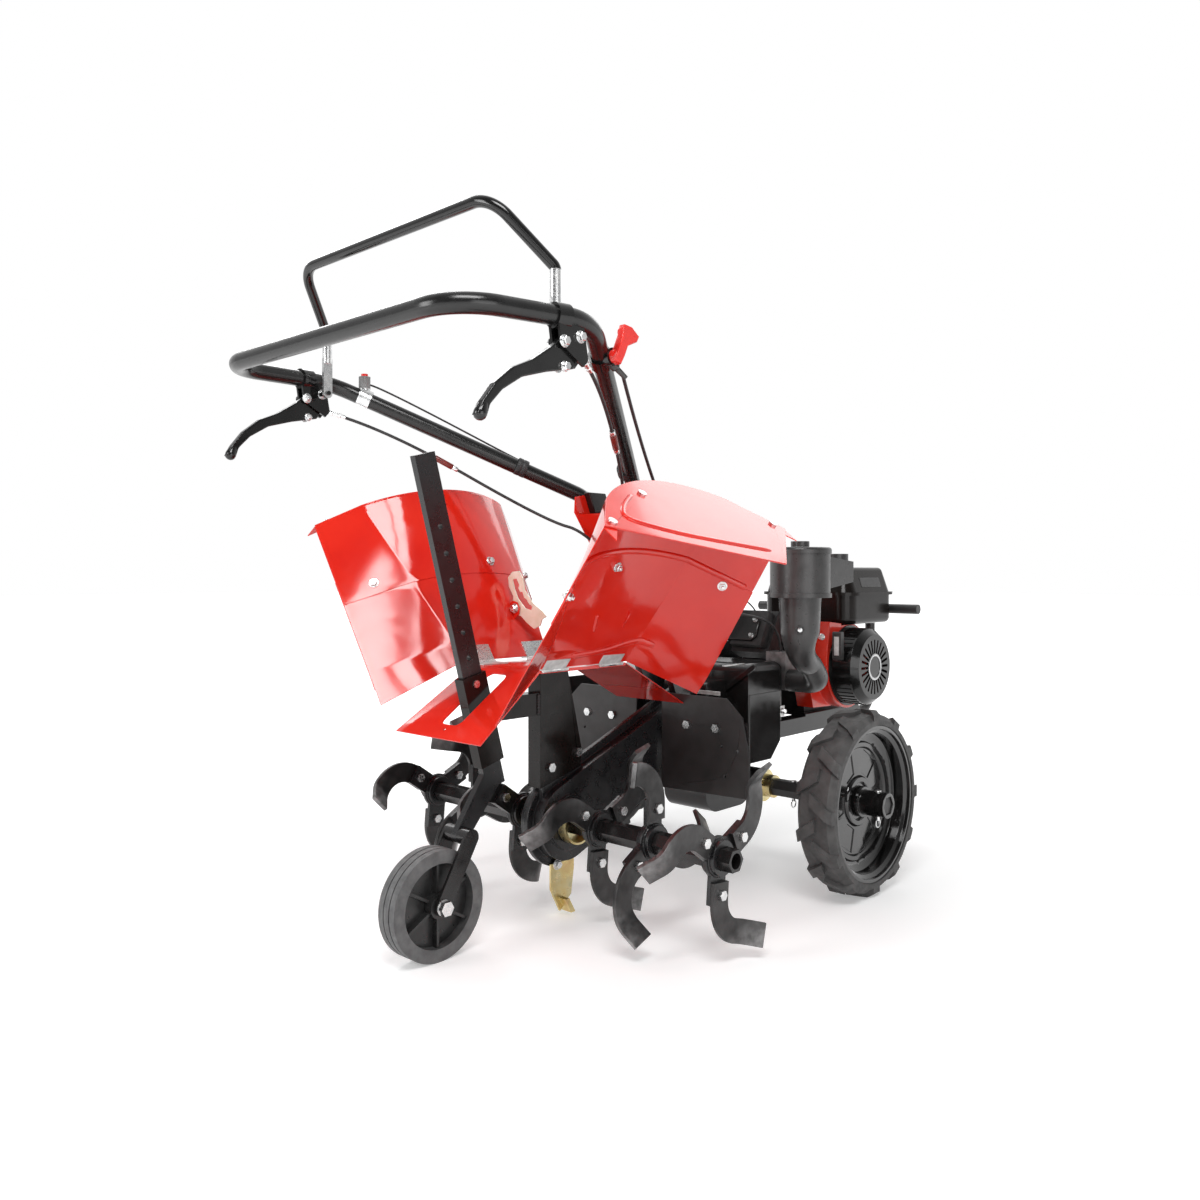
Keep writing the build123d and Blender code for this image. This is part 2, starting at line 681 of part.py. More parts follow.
# Gearbox, shafts and chain drive
def gearbox_shell(inset):
    """Outer shape of the gearbox with its upper case, or the same moved inwards for the hollow."""
    half = GEARBOX_HALF - inset
    low = block(-half, half, GEARBOX_REAR_Y + inset, GEARBOX_FRONT_Y - inset, GEARBOX_LOW_Z + inset,
                GEARBOX_TOP_Z - inset)
    edges = low.edges().filter_by(Axis.X).group_by(Axis.Z)
    low = fillet(edges[0], GEARBOX_BELLY_ROUND - inset)
    low = fillet(low.edges().filter_by(Axis.X).group_by(Axis.Z)[-1], GEARBOX_ROUND - inset)
    upper = block(-half, UPPER_CASE_X1 - inset, UPPER_CASE_REAR_Y + inset, UPPER_CASE_FRONT_Y - inset,
                  RAIL_TOP_Z + CLEAR + inset, UPPER_CASE_TOP_Z - inset)
    upper = fillet(upper.faces().sort_by(Axis.Z)[-1].edges(), UPPER_CASE_ROUND - inset)
    return low + upper


def gearbox_housing():
    shell = gearbox_shell(0)
    shell = shell + rod_x(AXLE_TUBE_R, -AXLE_TUBE_END, AXLE_TUBE_END, 0, WHEEL_R)
    for side in (1, -1):
        lug = sorted((side * GEARBOX_HALF, side * RAIL_IN_X))
        shell = shell + block(*lug, LUG_REAR_Y, LUG_FRONT_Y, LUG_LOW_Z, LUG_TOP_Z)
    shell = shell - gearbox_shell(GEARBOX_WALL)
    inside = GEARBOX_HALF - GEARBOX_WALL
    for side in (1, -1):
        ends = sorted((side * inside, side * SHAFT_BOSS_END))
        shell = shell + rod_x(SHAFT_BOSS_R, *ends, SHAFT_Y, SHAFT_Z)
    mouth = CASE_HALF - CASE_WALL
    shell = shell - block(-mouth, mouth, GEARBOX_REAR_Y, GEARBOX_REAR_Y + GEARBOX_WALL, CASE_MOUTH_LOW,
                          CASE_MOUTH_TOP)
    shell = shell - rod_x(AXLE_JOURNAL_R + RUN, -AXLE_TUBE_END, AXLE_TUBE_END, 0, WHEEL_R)
    return shell - rod_x(SHAFT_R + RUN, -SHAFT_BOSS_END, SHAFT_BOSS_END, SHAFT_Y, SHAFT_Z)


def chain_case():
    low = (ROTOR_Y, ROTOR_Z)
    high = (SHAFT_Y, SHAFT_Z)
    shell = hull_x(low, CASE_R, high, CASE_R, -CASE_HALF, CASE_HALF)
    rib_r = CASE_R + CASE_FLANGE
    shell = shell + hull_x(low, rib_r, high, rib_r, -CASE_FLANGE_HALF, CASE_FLANGE_HALF)
    boss_end = CASE_HALF + CASE_BOSS
    shell = shell + rod_x(CASE_BOSS_R, -boss_end, boss_end, ROTOR_Y, ROTOR_Z)
    shell = shell + plate_x(CASE_LUG, -POST_IN_X, POST_IN_X)
    hollow_r = CASE_R - CASE_WALL
    hollow = CASE_HALF - CASE_WALL
    shell = shell - hull_x(low, hollow_r, high, hollow_r, -hollow, hollow)
    shell = shell - block(-CASE_R, CASE_R, GEARBOX_REAR_Y, CASE_R + rib_r, 0, GEARBOX_TOP_Z + rib_r)
    for y, z in POST_BOLTS:
        shell = shell - rod_x(BOLT_HOLE_R, -CASE_HALF, CASE_HALF, y, z)
    return shell - rod_x(ROTOR_JOURNAL_R + RUN, -boss_end, boss_end, ROTOR_Y, ROTOR_Z)


def drive_chain():
    low = (ROTOR_Y, ROTOR_Z)
    high = (SHAFT_Y, SHAFT_Z)
    inner = SPROCKET_R + CLEAR
    outer = inner + CHAIN_HEIGHT
    band = hull_x(low, outer, high, outer, -CHAIN_HALF, CHAIN_HALF)
    return band - hull_x(low, inner, high, inner, -CHAIN_HALF, CHAIN_HALF)


def input_shaft():
    shaft = rod_x(SHAFT_R, SHAFT_END_X, SHAFT_BOSS_END, SHAFT_Y, SHAFT_Z)
    return shaft + rod_x(SPROCKET_R, -SPROCKET_HALF, SPROCKET_HALF, SHAFT_Y, SHAFT_Z)


def pulley(radius, shaft_r, y, z):
    """Grooved pulley on a shaft along X, in the belt's plane."""
    floor = radius - PULLEY_GROOVE
    outline = [(-PULLEY_HALF, shaft_r + RUN), (PULLEY_HALF, shaft_r + RUN), (PULLEY_HALF, radius),
               (PULLEY_GROOVE_HALF, radius), (PULLEY_GROOVE_HALF, floor), (-PULLEY_GROOVE_HALF, floor),
               (-PULLEY_GROOVE_HALF, radius), (-PULLEY_HALF, radius)]
    return turned(outline, BELT_X, y, z)


def drive_belt():
    crank = (CRANK_Y, CRANK_Z)
    shaft = (SHAFT_Y, SHAFT_Z)
    crank_r = CRANK_PULLEY_R - PULLEY_GROOVE + CLEAR
    shaft_r = INPUT_PULLEY_R - PULLEY_GROOVE + CLEAR
    span = (BELT_X - BELT_HALF, BELT_X + BELT_HALF)
    band = hull_x(crank, crank_r + BELT_HEIGHT, shaft, shaft_r + BELT_HEIGHT, *span)
    return band - hull_x(crank, crank_r, shaft, shaft_r, *span)


def belt_cover():
    crank = (CRANK_Y, CRANK_Z)
    shaft = (SHAFT_Y, SHAFT_Z)
    crank_r = CRANK_PULLEY_R + COVER_ROOM
    shaft_r = INPUT_PULLEY_R + COVER_ROOM
    shell = hull_x(crank, crank_r + COVER_WALL, shaft, shaft_r + COVER_WALL, BELT_COVER_X, -RAIL_OUT_X)
    shell = shell - hull_x(crank, crank_r, shaft, shaft_r, BELT_COVER_X + COVER_WALL,
                           -RAIL_OUT_X - COVER_WALL)
    for y, z in (crank, shaft):
        shell = shell - rod_x(COVER_HOLE_R, -RAIL_OUT_X - COVER_WALL, -RAIL_OUT_X, y, z)
    return shell


def centre_blade():
    x0 = CASE_FLANGE_HALF
    middle = x0 + BLADE_THICK / 2
    edge_z = ROTOR_Z - CASE_R - CASE_FLANGE
    outline = [(ROTOR_Y + y, edge_z + z) for y, z in BLADE_OUTLINE]
    share = [(ROTOR_Y + y, edge_z + z) for y, z in BLADE_SHARE]
    blade = plate_x(outline, x0, x0 + BLADE_THICK)
    return blade + plate_x(share, middle - BLADE_SHARE_WIDTH / 2, middle + BLADE_SHARE_WIDTH / 2)


# Tine rotor
def rotor_shaft():
    shaft = hex_x(ROTOR_FLATS, -ROTOR_HALF, ROTOR_HALF, ROTOR_Y, ROTOR_Z)
    journal = CASE_HALF + CASE_BOSS + ROTOR_JOURNAL_PAST
    shaft = shaft + rod_x(ROTOR_JOURNAL_R, -journal, journal, ROTOR_Y, ROTOR_Z)
    shaft = shaft + rod_x(SPROCKET_R, -SPROCKET_HALF, SPROCKET_HALF, ROTOR_Y, ROTOR_Z)
    for side in (1, -1):
        ends = sorted((side * ROTOR_HALF, side * (ROTOR_HALF - ROTOR_BORE_DEPTH)))
        shaft = shaft - rod_x(ROTOR_BORE_R, *ends, ROTOR_Y, ROTOR_Z)
    return shaft


def tine_hub():
    """Hub with one lobed plate that carries the tines on its outer face, on a shaft along X."""
    outline = Circle(TINE_HUB_R)
    for index in range(TINES_PER_HUB):
        turn = Rot(0, 0, index * 360 / TINES_PER_HUB)
        outline = outline + turn * Pos(0, LOBE_R / 2) * Rectangle(LOBE_WIDTH, LOBE_R)
    hub = rod_x(TINE_HUB_BOSS_R, -TINE_HUB_HALF, TINE_HUB_HALF, 0, 0)
    hub = hub + extrude(Plane.YZ.offset(-TINE_HUB_PLATE / 2) * outline, TINE_HUB_PLATE)
    for index in range(TINES_PER_HUB):
        hole = rod_x(BOLT_HOLE_R, -TINE_HUB_HALF, TINE_HUB_HALF, 0, TINE_BOLT_AT_R)
        hub = hub - Rot(index * 360 / TINES_PER_HUB, 0, 0) * hole
    return hub


def tine(side):
    """Tine standing along Z from the shaft; it trails to -Y and its tip bends to the given side."""
    half = TINE_WIDTH / 2
    sweep_angle = math.radians(TINE_CURVE_DEG)

    def on_curve(radius, angle):
        return (radius * math.cos(angle) - TINE_CURVE_R, TINE_STRAIGHT_R + radius * math.sin(angle))

    inner = TINE_CURVE_R - half
    outer = TINE_CURVE_R + half
    edges = [Polyline(on_curve(inner, 0), (-half, TINE_ROOT_R), (half, TINE_ROOT_R), on_curve(outer, 0)),
             ThreePointArc(*[on_curve(outer, share * sweep_angle) for share in (0, 0.5, 1)]),
             Line(on_curve(outer, sweep_angle), on_curve(inner, sweep_angle)),
             ThreePointArc(*[on_curve(inner, share * sweep_angle) for share in (1, 0.5, 0)])]
    leg = extrude(Plane.YZ.offset(-TINE_THICK / 2) * make_face(edges), TINE_THICK)

    end_y, end_z = on_curve(TINE_CURVE_R, sweep_angle)
    along = Vector(0, -math.sin(sweep_angle), math.cos(sweep_angle))
    across = Vector(0, math.cos(sweep_angle), math.sin(sweep_angle))
    end = Vector(0, end_y, end_z)
    bend_r = TINE_BEND_R + TINE_THICK / 2
    bend_angle = math.radians(TINE_BEND_DEG)
    sideways = Vector(side, 0, 0)
    section = Plane(end, x_dir=(1, 0, 0), z_dir=along) * Rectangle(TINE_THICK, TINE_WIDTH)
    bend = revolve(section, Axis(end + sideways * bend_r, across), side * TINE_BEND_DEG)
    rise = bend_r * math.sin(bend_angle)
    shift = bend_r * (1 - math.cos(bend_angle))
    tip_start = end + along * rise + sideways * shift
    tip_along = along * math.cos(bend_angle) + sideways * math.sin(bend_angle)
    tip_plane = Plane(tip_start, x_dir=across, z_dir=tip_along)
    tip = extrude(tip_plane * Rectangle(TINE_WIDTH, TINE_THICK), TINE_TIP)
    shape = leg + bend + tip
    return shape - rod_x(BOLT_HOLE_R, -TINE_THICK, TINE_THICK, 0, TINE_BOLT_AT_R)


def tine_bolt():
    return through_bolt_x(-TINE_HUB_PLATE / 2, TINE_HUB_PLATE / 2 + TINE_THICK, 0, TINE_BOLT_AT_R)


def tine_sets():
    """Hubs, tines and bolts of the whole rotor, each side the mirror of the other."""
    hubs = []
    tines = []
    bolts = []
    hub = tine_hub()
    bolt = tine_bolt()
    seat = Pos((TINE_HUB_PLATE + TINE_THICK) / 2, 0, 0)
    shapes = {side: seat * tine(side) for side in (1, -1)}
    for x, phase, bends in zip(TINE_HUB_X, TINE_HUB_PHASE_DEG, TINE_BENDS):
        place = Pos(x, ROTOR_Y, ROTOR_Z) * Rot(phase - 90, 0, 0)
        bore = hex_x(ROTOR_FLATS + 2 * CLEAR, x - TINE_HUB_HALF, x + TINE_HUB_HALF, ROTOR_Y, ROTOR_Z)
        hubs += pair(place * hub - bore)
        for index, bend in enumerate(bends):
            turn = place * Rot(index * 360 / TINES_PER_HUB, 0, 0)
            tines += pair(turn * shapes[bend])
            bolts += pair(turn * bolt)
    return hubs, tines, bolts


def rotor_collar():
    """Dust cup next to the chain case, open to the outside."""
    x0 = CASE_HALF + CASE_BOSS + COLLAR_GAP
    x1 = x0 + COLLAR_LENGTH
    web = x0 + COLLAR_WALL
    cup = rod_x(COLLAR_R, x0, x1, ROTOR_Y, ROTOR_Z) - rod_x(COLLAR_R - COLLAR_WALL, web, x1, ROTOR_Y, ROTOR_Z)
    return cup - hex_x(ROTOR_FLATS + 2 * CLEAR, x0, web, ROTOR_Y, ROTOR_Z)


# Frame
def box_tube(x0, x1, y0, y1, z0, z1, wall):
    """Square tube along Y with open ends."""
    return block(x0, x1, y0, y1, z0, z1) - block(x0 + wall, x1 - wall, y0, y1, z0 + wall, z1 - wall)


def column_outline():
    lean = Vector(0, COLUMN_TOP_Y - COLUMN_FOOT_Y, COLUMN_TOP_Z - ENGINE_BASE_Z).normalized()
    half = COLUMN_DEPTH / 2 / lean.Z
    return [(COLUMN_FOOT_Y - half, ENGINE_BASE_Z), (COLUMN_FOOT_Y + half, ENGINE_BASE_Z),
            (COLUMN_TOP_Y + half, COLUMN_TOP_Z), (COLUMN_TOP_Y - half, COLUMN_TOP_Z)]


def bracket_bolt_places():
    """Bolts that hold the handlebar feet, the red bracket and the columns together."""
    places = []
    for share in BRACKET_BOLTS:
        places.append((ARM_FOOT_Y + share * (ARM_Y - ARM_FOOT_Y), ARM_FOOT_Z + share * (ARM_Z - ARM_FOOT_Z)))
    return places


def return_outline():
    """Outline of the side plate that closes the end of each cross arm."""
    front = RETURN_PLATE_FRONT_Y
    low = RETURN_PLATE_LOW_Z
    return [(RAIL_REAR_Y, low), (front - RETURN_PLATE_CUT, low), (front, low + RETURN_PLATE_CUT),
            (front, RETURN_PLATE_TOP_Z), (RAIL_REAR_Y, RETURN_PLATE_TOP_Z)]


def engine_frame():
    frame = block(-RAIL_OUT_X, RAIL_OUT_X, ENGINE_PLATE_REAR, ENGINE_PLATE_FRONT, RAIL_TOP_Z, ENGINE_BASE_Z)
    for side in (1, -1):
        rail = sorted((side * RAIL_IN_X, side * RAIL_OUT_X))
        frame = frame + box_tube(*rail, RAIL_REAR_Y, RAIL_FRONT_Y, RAIL_LOW_Z, RAIL_TOP_Z, RAIL_WALL)
        foot = sorted((side * COLUMN_IN_X, side * RAIL_OUT_X))
        frame = frame + block(*foot, COLUMN_FOOT_Y - COLUMN_DEPTH, GEARBOX_REAR_Y - CLEAR, RAIL_TOP_Z,
                              ENGINE_BASE_Z)
        column = plate_x(column_outline(), *sorted((side * COLUMN_IN_X, side * COLUMN_OUT_X)))
        for y, z in bracket_bolt_places():
            column = column - rod_x(BOLT_HOLE_R, -COLUMN_OUT_X, COLUMN_OUT_X, y, z)
        frame = frame + column
        arm = sorted((side * COLUMN_OUT_X, side * ARM_END_X))
        frame = frame + block(*arm, RAIL_REAR_Y, RAIL_REAR_Y + ARM_DEPTH, RAIL_TOP_Z, RAIL_TOP_Z + ARM_HEIGHT)
        end = sorted((side * ARM_END_X, side * (ARM_END_X + PLATE)))
        frame = frame + plate_x(return_outline(), *end)
        for x in GUARD_BOLT_X:
            frame = frame - rod_y(BOLT_HOLE_R, RAIL_REAR_Y, RAIL_REAR_Y + ARM_DEPTH, side * x, GUARD_BOLT_Z)
    return frame


def front_bumper():
    bar = rod_x(BUMPER_R, -BUMPER_HALF, BUMPER_HALF, BUMPER_Y, BUMPER_Z)
    upright_x = (RAIL_IN_X + RAIL_OUT_X) / 2
    middle_z = (RAIL_LOW_Z + RAIL_TOP_Z) / 2
    for x in (upright_x, -upright_x):
        points = [(x, RAIL_FRONT_Y, middle_z), (x, BUMPER_Y, middle_z), (x, BUMPER_Y, BUMPER_Z)]
        bar = bar + pipe(points, BUMPER_BEND_R, BUMPER_R)
        half = RAIL_SIZE / 2
        bar = bar + block(x - half, x + half, RAIL_FRONT_Y, RAIL_FRONT_Y + PLATE, RAIL_LOW_Z, RAIL_TOP_Z)
    return bar


def guard_plate():
    rear = RAIL_REAR_Y - GUARD_THICK
    top = GUARD_EDGE[-1][1]
    outline = [(GUARD_IN_X, GUARD_LOW_Z - GUARD_GAP), (GUARD_OUT_X, GUARD_LOW_Z), *GUARD_EDGE,
               (GUARD_IN_X, top)]
    plane = Plane((0, RAIL_REAR_Y, 0), x_dir=(1, 0, 0), z_dir=(0, -1, 0))
    plate = extrude(plane * make_face(Polyline(*outline, close=True)), GUARD_THICK)
    for x in GUARD_BOLT_X:
        plate = plate - rod_y(BOLT_HOLE_R, rear, RAIL_REAR_Y, x, GUARD_BOLT_Z)
    for x, z in GUARD_HOLES:
        plate = plate - rod_y(GUARD_HOLE_R, rear, RAIL_REAR_Y, x, z)
    return plate


# Centre cover, wings and their hinges
def cover_flap(half):
    """Sloping rear flap of the centre cover, wider at its rear edge."""
    rear = Vector(0, COVER_REAR[0], COVER_TOP_Z + COVER_REAR[1])
    crease = Vector(0, COVER_CREASE_REAR[0], COVER_TOP_Z + COVER_CREASE_REAR[1])
    down = rear - crease
    wide = half + COVER_FLARE
    corners = [(-half, 0), (half, 0), (wide, down.length), (-wide, down.length)]
    plane = Plane(crease, x_dir=(1, 0, 0), z_dir=Vector(1, 0, 0).cross(down.normalized()))
    return extrude(plane * make_face(Polyline(*corners, close=True)), SHEET)


def cover_front():
    """Front edge of the cover, where it meets the guard plates, as (y, height)."""
    y = RAIL_REAR_Y - GUARD_THICK
    return (y, (COVER_CREASE_FRONT[0] - y) * COVER_FRONT_DROP)


def centre_cover():
    half = HINGE_X - HINGE_GAP
    line = [COVER_CREASE_REAR, COVER_CREASE_FRONT, cover_front()]
    outline = [(y, COVER_TOP_Z + h) for y, h in line] + [(y, COVER_LOW_Z + h) for y, h in reversed(line)]
    cover = plate_x(outline, -half, half) + cover_flap(half)
    for side in (1, -1):
        lip = sorted((side * half, side * (half - SHEET)))
        cover = cover + block(*lip, COVER_CREASE_REAR[0], COVER_CREASE_FRONT[0], COVER_LOW_Z - PLATE,
                              COVER_TOP_Z)
    slot_half = BAR_THICK / 2 + SLEEVE_WALL + SLOT_ROOM
    rear, front = slot_span()
    slot = block(-slot_half, slot_half, rear, front, 0, COVER_LOW_Z)
    cover = cover - fillet(slot.edges().filter_by(Axis.Z), slot_half / 2)
    return cover - rod_z(SLOT_HOLE_R, 0, COVER_LOW_Z, 0, rear - SLOT_HOLE_GAP)


def slot_span():
    """Rear and front end of the slot that lets the sleeve through the sloping flap."""
    crease_y, crease_h = COVER_CREASE_REAR
    slope = (crease_h - COVER_REAR[1]) / (crease_y - COVER_REAR[0])
    lean = math.tan(BAR_TILT)
    reach = (BAR_DEPTH / 2 + SLEEVE_WALL) / math.cos(BAR_TILT)
    level = BAR_Y + lean * (BAR_Z - HINGE_Z - crease_h + slope * crease_y)
    rear = (level - reach) / (1 + lean * slope)
    front = (level + reach) / (1 + lean * slope)
    return rear - SLOT_END_ROOM, front + SLOT_END_ROOM


def wing_profile(s, drop):
    """Five corner points of the wing's top line, rear to front, at distance s from the hinge line."""
    share = max(0.0, (s - WING_ROOT_FLAT) / (WING_SPAN - WING_ROOT_FLAT))
    points = []
    for root, tip in zip(WING_ROOT, WING_TIP):
        points.append((root[0] + share * (tip[0] - root[0]), root[1] + share * (tip[1] - root[1]) - drop))
    return points


def wing_face(s, drop, depth):
    """Cross section of the wing sheet at distance s from the hinge line."""
    tail, rear, top, front, nose = wing_profile(s, drop)

    def low(point):
        return (point[0], point[1] - depth)

    edges = [Line(tail, rear), ThreePointArc(rear, top, front), Line(front, nose), Line(nose, low(nose)),
             Line(low(nose), low(front)), ThreePointArc(low(front), low(top), low(rear)),
             Line(low(rear), low(tail)), Line(low(tail), tail)]
    return Plane.YZ.offset(s) * make_face(edges)


def folded(shape, fold):
    """Turn a wing piece drawn flat, with its hinge line on Y, up to the folded place on the right."""
    return Pos(HINGE_X, 0, HINGE_Z) * Rot(0, -fold, 0) * shape


def wing_drops():
    """How far the inner and the outer sheet lie below the wing's drawn top line."""
    inner = HINGE_LEAF_THICK / 2 + WING_ROOT_SAG
    return inner, inner - SHEET + WING_LAP_BITE


def wing_bolt_places():
    """Bolts of the end plate along its arched edge as (y, h)."""
    corners = wing_profile(WING_SPAN, wing_drops()[1])
    places = []
    for index, share in WING_BOLT_SHARES:
        (y0, h0), (y1, h1) = corners[index], corners[index + 1]
        places.append((y0 + share * (y1 - y0), h0 + share * (h1 - h0) - WING_BOLT_INSET))
    return places


def wing_tail(drop):
    """Corner of the rear slope that reaches past the hinge line and laps over the flap."""
    tail, rear = wing_profile(HINGE_GAP, drop)[:2]
    start = Vector(HINGE_GAP, *rear)
    down = Vector(HINGE_GAP, *tail) - start
    corners = [(SHEET, 0), (SHEET, down.length), (-HINGE_GAP - WING_TAIL_PAST, down.length), (0, 0)]
    plane = Plane(start, x_dir=(1, 0, 0), z_dir=Vector(1, 0, 0).cross(down.normalized()))
    return extrude(plane * make_face(Polyline(*corners, close=True)), SHEET)


def wing():
    """Wing of two lapped sheets, drawn flat with its hinge line on Y."""
    inner_drop, outer_drop = wing_drops()
    inner_end = WING_SEAM + WING_LAP
    root = wing_face(HINGE_GAP, inner_drop, SHEET)
    sheet = extrude(root, WING_ROOT_FLAT - HINGE_GAP) + wing_tail(inner_drop)
    inner = [wing_face(WING_ROOT_FLAT, inner_drop, SHEET), wing_face(inner_end, inner_drop, SHEET)]
    outer = [wing_face(WING_SEAM, outer_drop, SHEET), wing_face(WING_SPAN, outer_drop, SHEET)]
    sheet = sheet + loft(inner, ruled=True) + loft(outer, ruled=True)
    sheet = sheet + extrude(wing_face(WING_SPAN, outer_drop, WING_FLANGE), -WING_FLANGE_THICK)
    for y, h in wing_bolt_places():
        sheet = sheet - rod_x(WING_BOLT_R + CLEAR, WING_SPAN - PLATE, WING_SPAN, y, h)
    for y in HINGE_Y:
        sheet = sheet - rod_z(WING_BOLT_R + CLEAR, -HINGE_LEAF, HINGE_LEAF, HINGE_LEAF / 2 + HINGE_GAP, y)
    return sheet


def end_plate():
    tail, rear, top, front, nose = wing_profile(WING_SPAN, wing_drops()[1])
    edges = [Line(tail, rear), ThreePointArc(rear, top, front), Line(front, nose), Line(nose, END_PLATE_LOW),
             Line(END_PLATE_LOW, tail)]
    plate = extrude(Plane.YZ.offset(WING_SPAN) * make_face(edges), END_PLATE_THICK)
    for y, h in wing_bolt_places():
        plate = plate - rod_x(WING_BOLT_R + CLEAR, WING_SPAN, WING_SPAN + END_PLATE_THICK, y, h)
    return plate


def hinge_span(y):
    """Ends of the whole hinge and of its middle knuckle."""
    half = HINGE_LENGTH / 2
    middle = half - HINGE_KNUCKLE_SHARE * HINGE_LENGTH
    return (y - half, y + half), (y - middle + CLEAR, y + middle - CLEAR), (y - middle, y + middle)


def fixed_leaf(y):
    """Leaf on the centre cover with the hinge pin; hinge line on Y, leaf towards -X."""
    whole, _, middle = hinge_span(y)
    half = HINGE_LEAF_THICK / 2
    edge = HINGE_KNUCKLE_R + HINGE_LEAF_GAP
    leaf = block(-HINGE_LEAF - HINGE_GAP, -edge, *whole, -half, half)
    for start, end in ((whole[0], middle[0]), (middle[1], whole[1])):
        leaf = leaf + block(-edge, 0, start, end, -half, half) + rod_y(HINGE_KNUCKLE_R, start, end, 0, 0)
    return Pos(HINGE_X, 0, HINGE_Z) * (leaf + rod_y(HINGE_PIN_R, *whole, 0, 0))


def moving_leaf(y):
    """Leaf on the wing with its middle knuckle and a rivet into the sheet."""
    whole, middle, _ = hinge_span(y)
    half = HINGE_LEAF_THICK / 2
    edge = HINGE_KNUCKLE_R + HINGE_LEAF_GAP
    leaf = block(edge, HINGE_LEAF + HINGE_GAP, *whole, -half, half)
    leaf = leaf + block(0, edge, *middle, -half, half) + rod_y(HINGE_KNUCKLE_R, *middle, 0, 0)
    leaf = leaf - rod_y(HINGE_PIN_R + RUN, *middle, 0, 0)
    x = HINGE_LEAF / 2 + HINGE_GAP
    low = -half - WING_ROOT_SAG - SHEET
    return leaf + rod_z(WING_BOLT_R, low, half + SHEET, x, y)


def wing_hardware():
    """Moving hinge leaves and end-plate bolts of one wing, drawn flat."""
    pieces = [moving_leaf(y) for y in HINGE_Y]
    outside = WING_SPAN + END_PLATE_THICK
    inside = WING_SPAN - WING_FLANGE_THICK
    for y, h in wing_bolt_places():
        bolt = rod_x(WING_BOLT_HEAD_R, outside, outside + WING_BOLT_HEAD, y, h)
        bolt = bolt + rod_x(WING_BOLT_R, inside, outside, y, h)
        pieces.append(bolt + rod_x(WING_BOLT_HEAD_R, inside - WING_BOLT_HEAD, inside, y, h))
    return pieces


def both_wings(shapes):
    """One wing piece or group on the right and its mirror on the left, each at its own fold."""
    right = [folded(shape, WING_FOLD_RIGHT_DEG) for shape in shapes]
    left = [mirrored(folded(shape, WING_FOLD_LEFT_DEG)) for shape in shapes]
    return right, left


# Rear post and depth wheel
def bar_place(down, ahead=0.0):
    """Point (y, z) on the depth bar's line, measured down the bar and across it."""
    y = BAR_Y + down * math.sin(BAR_TILT) + ahead * math.cos(BAR_TILT)
    z = BAR_Z - down * math.cos(BAR_TILT) + ahead * math.sin(BAR_TILT)
    return (y, z)


def bar_box(top, low, half_depth, half_thick):
    """Box along the depth bar's line; top and low are measured down the bar."""
    corners = [bar_place(top, -half_depth), bar_place(top, half_depth), bar_place(low, half_depth),
               bar_place(low, -half_depth)]
    return plate_x(corners, -half_thick, half_thick)


def sleeve_pin_place():
    return bar_place(SLEEVE_ABOVE + SLEEVE_PIN_DOWN)


def rear_post():
    outline = [(POST_REAR_Y, POST_LOW_Z), (POST_REAR_Y, COVER_LOW_Z), (POST_FRONT[0][0], COVER_LOW_Z),
               *POST_FRONT]
    outer = POST_IN_X + POST_THICK
    post = block(-POST_IN_X, POST_IN_X, POST_REAR_Y, POST_REAR_Y + POST_BACK_THICK, POST_LOW_Z, COVER_LOW_Z)
    for side in (1, -1):
        post = post + plate_x(outline, *sorted((side * POST_IN_X, side * outer)))
    for y, z in POST_BOLTS:
        post = post - rod_x(BOLT_HOLE_R, -outer, outer, y, z)
    sleeve_y = bar_place((SLEEVE_ABOVE + SLEEVE_BELOW) / 2)[0]
    post = post + block(-DRAWBAR_HALF, DRAWBAR_HALF, sleeve_y, POST_REAR_Y, DRAWBAR_LOW_Z, DRAWBAR_TOP_Z)
    half_depth = BAR_DEPTH / 2 + CLEAR
    half_thick = BAR_THICK / 2 + CLEAR
    post = post + bar_box(SLEEVE_ABOVE, SLEEVE_BELOW, half_depth + SLEEVE_WALL, half_thick + SLEEVE_WALL)
    post = post - bar_box(SLEEVE_ABOVE, SLEEVE_BELOW, half_depth, half_thick)
    pin_y, pin_z = sleeve_pin_place()
    return post - rod_x(BAR_HOLE_R, -half_thick - SLEEVE_WALL, half_thick + SLEEVE_WALL, pin_y, pin_z)


def depth_bar():
    bar = bar_box(-BAR_ABOVE, BAR_BELOW, BAR_DEPTH / 2, BAR_THICK / 2)
    foot_y, foot_z = bar_place(BAR_BELOW - BAR_DEPTH / 2)
    bar = bar + hull_x((foot_y, foot_z), BAR_DEPTH / 2, (FORK_TOP_Y, FORK_TOP_Z), FORK_WIDTH / 2,
                       -BAR_THICK / 2, BAR_THICK / 2)
    for index in range(BAR_HOLES):
        y, z = bar_place(SLEEVE_ABOVE + SLEEVE_PIN_DOWN - index * BAR_HOLE_PITCH)
        bar = bar - rod_x(BAR_HOLE_R, -BAR_THICK / 2, BAR_THICK / 2, y, z)
    return bar


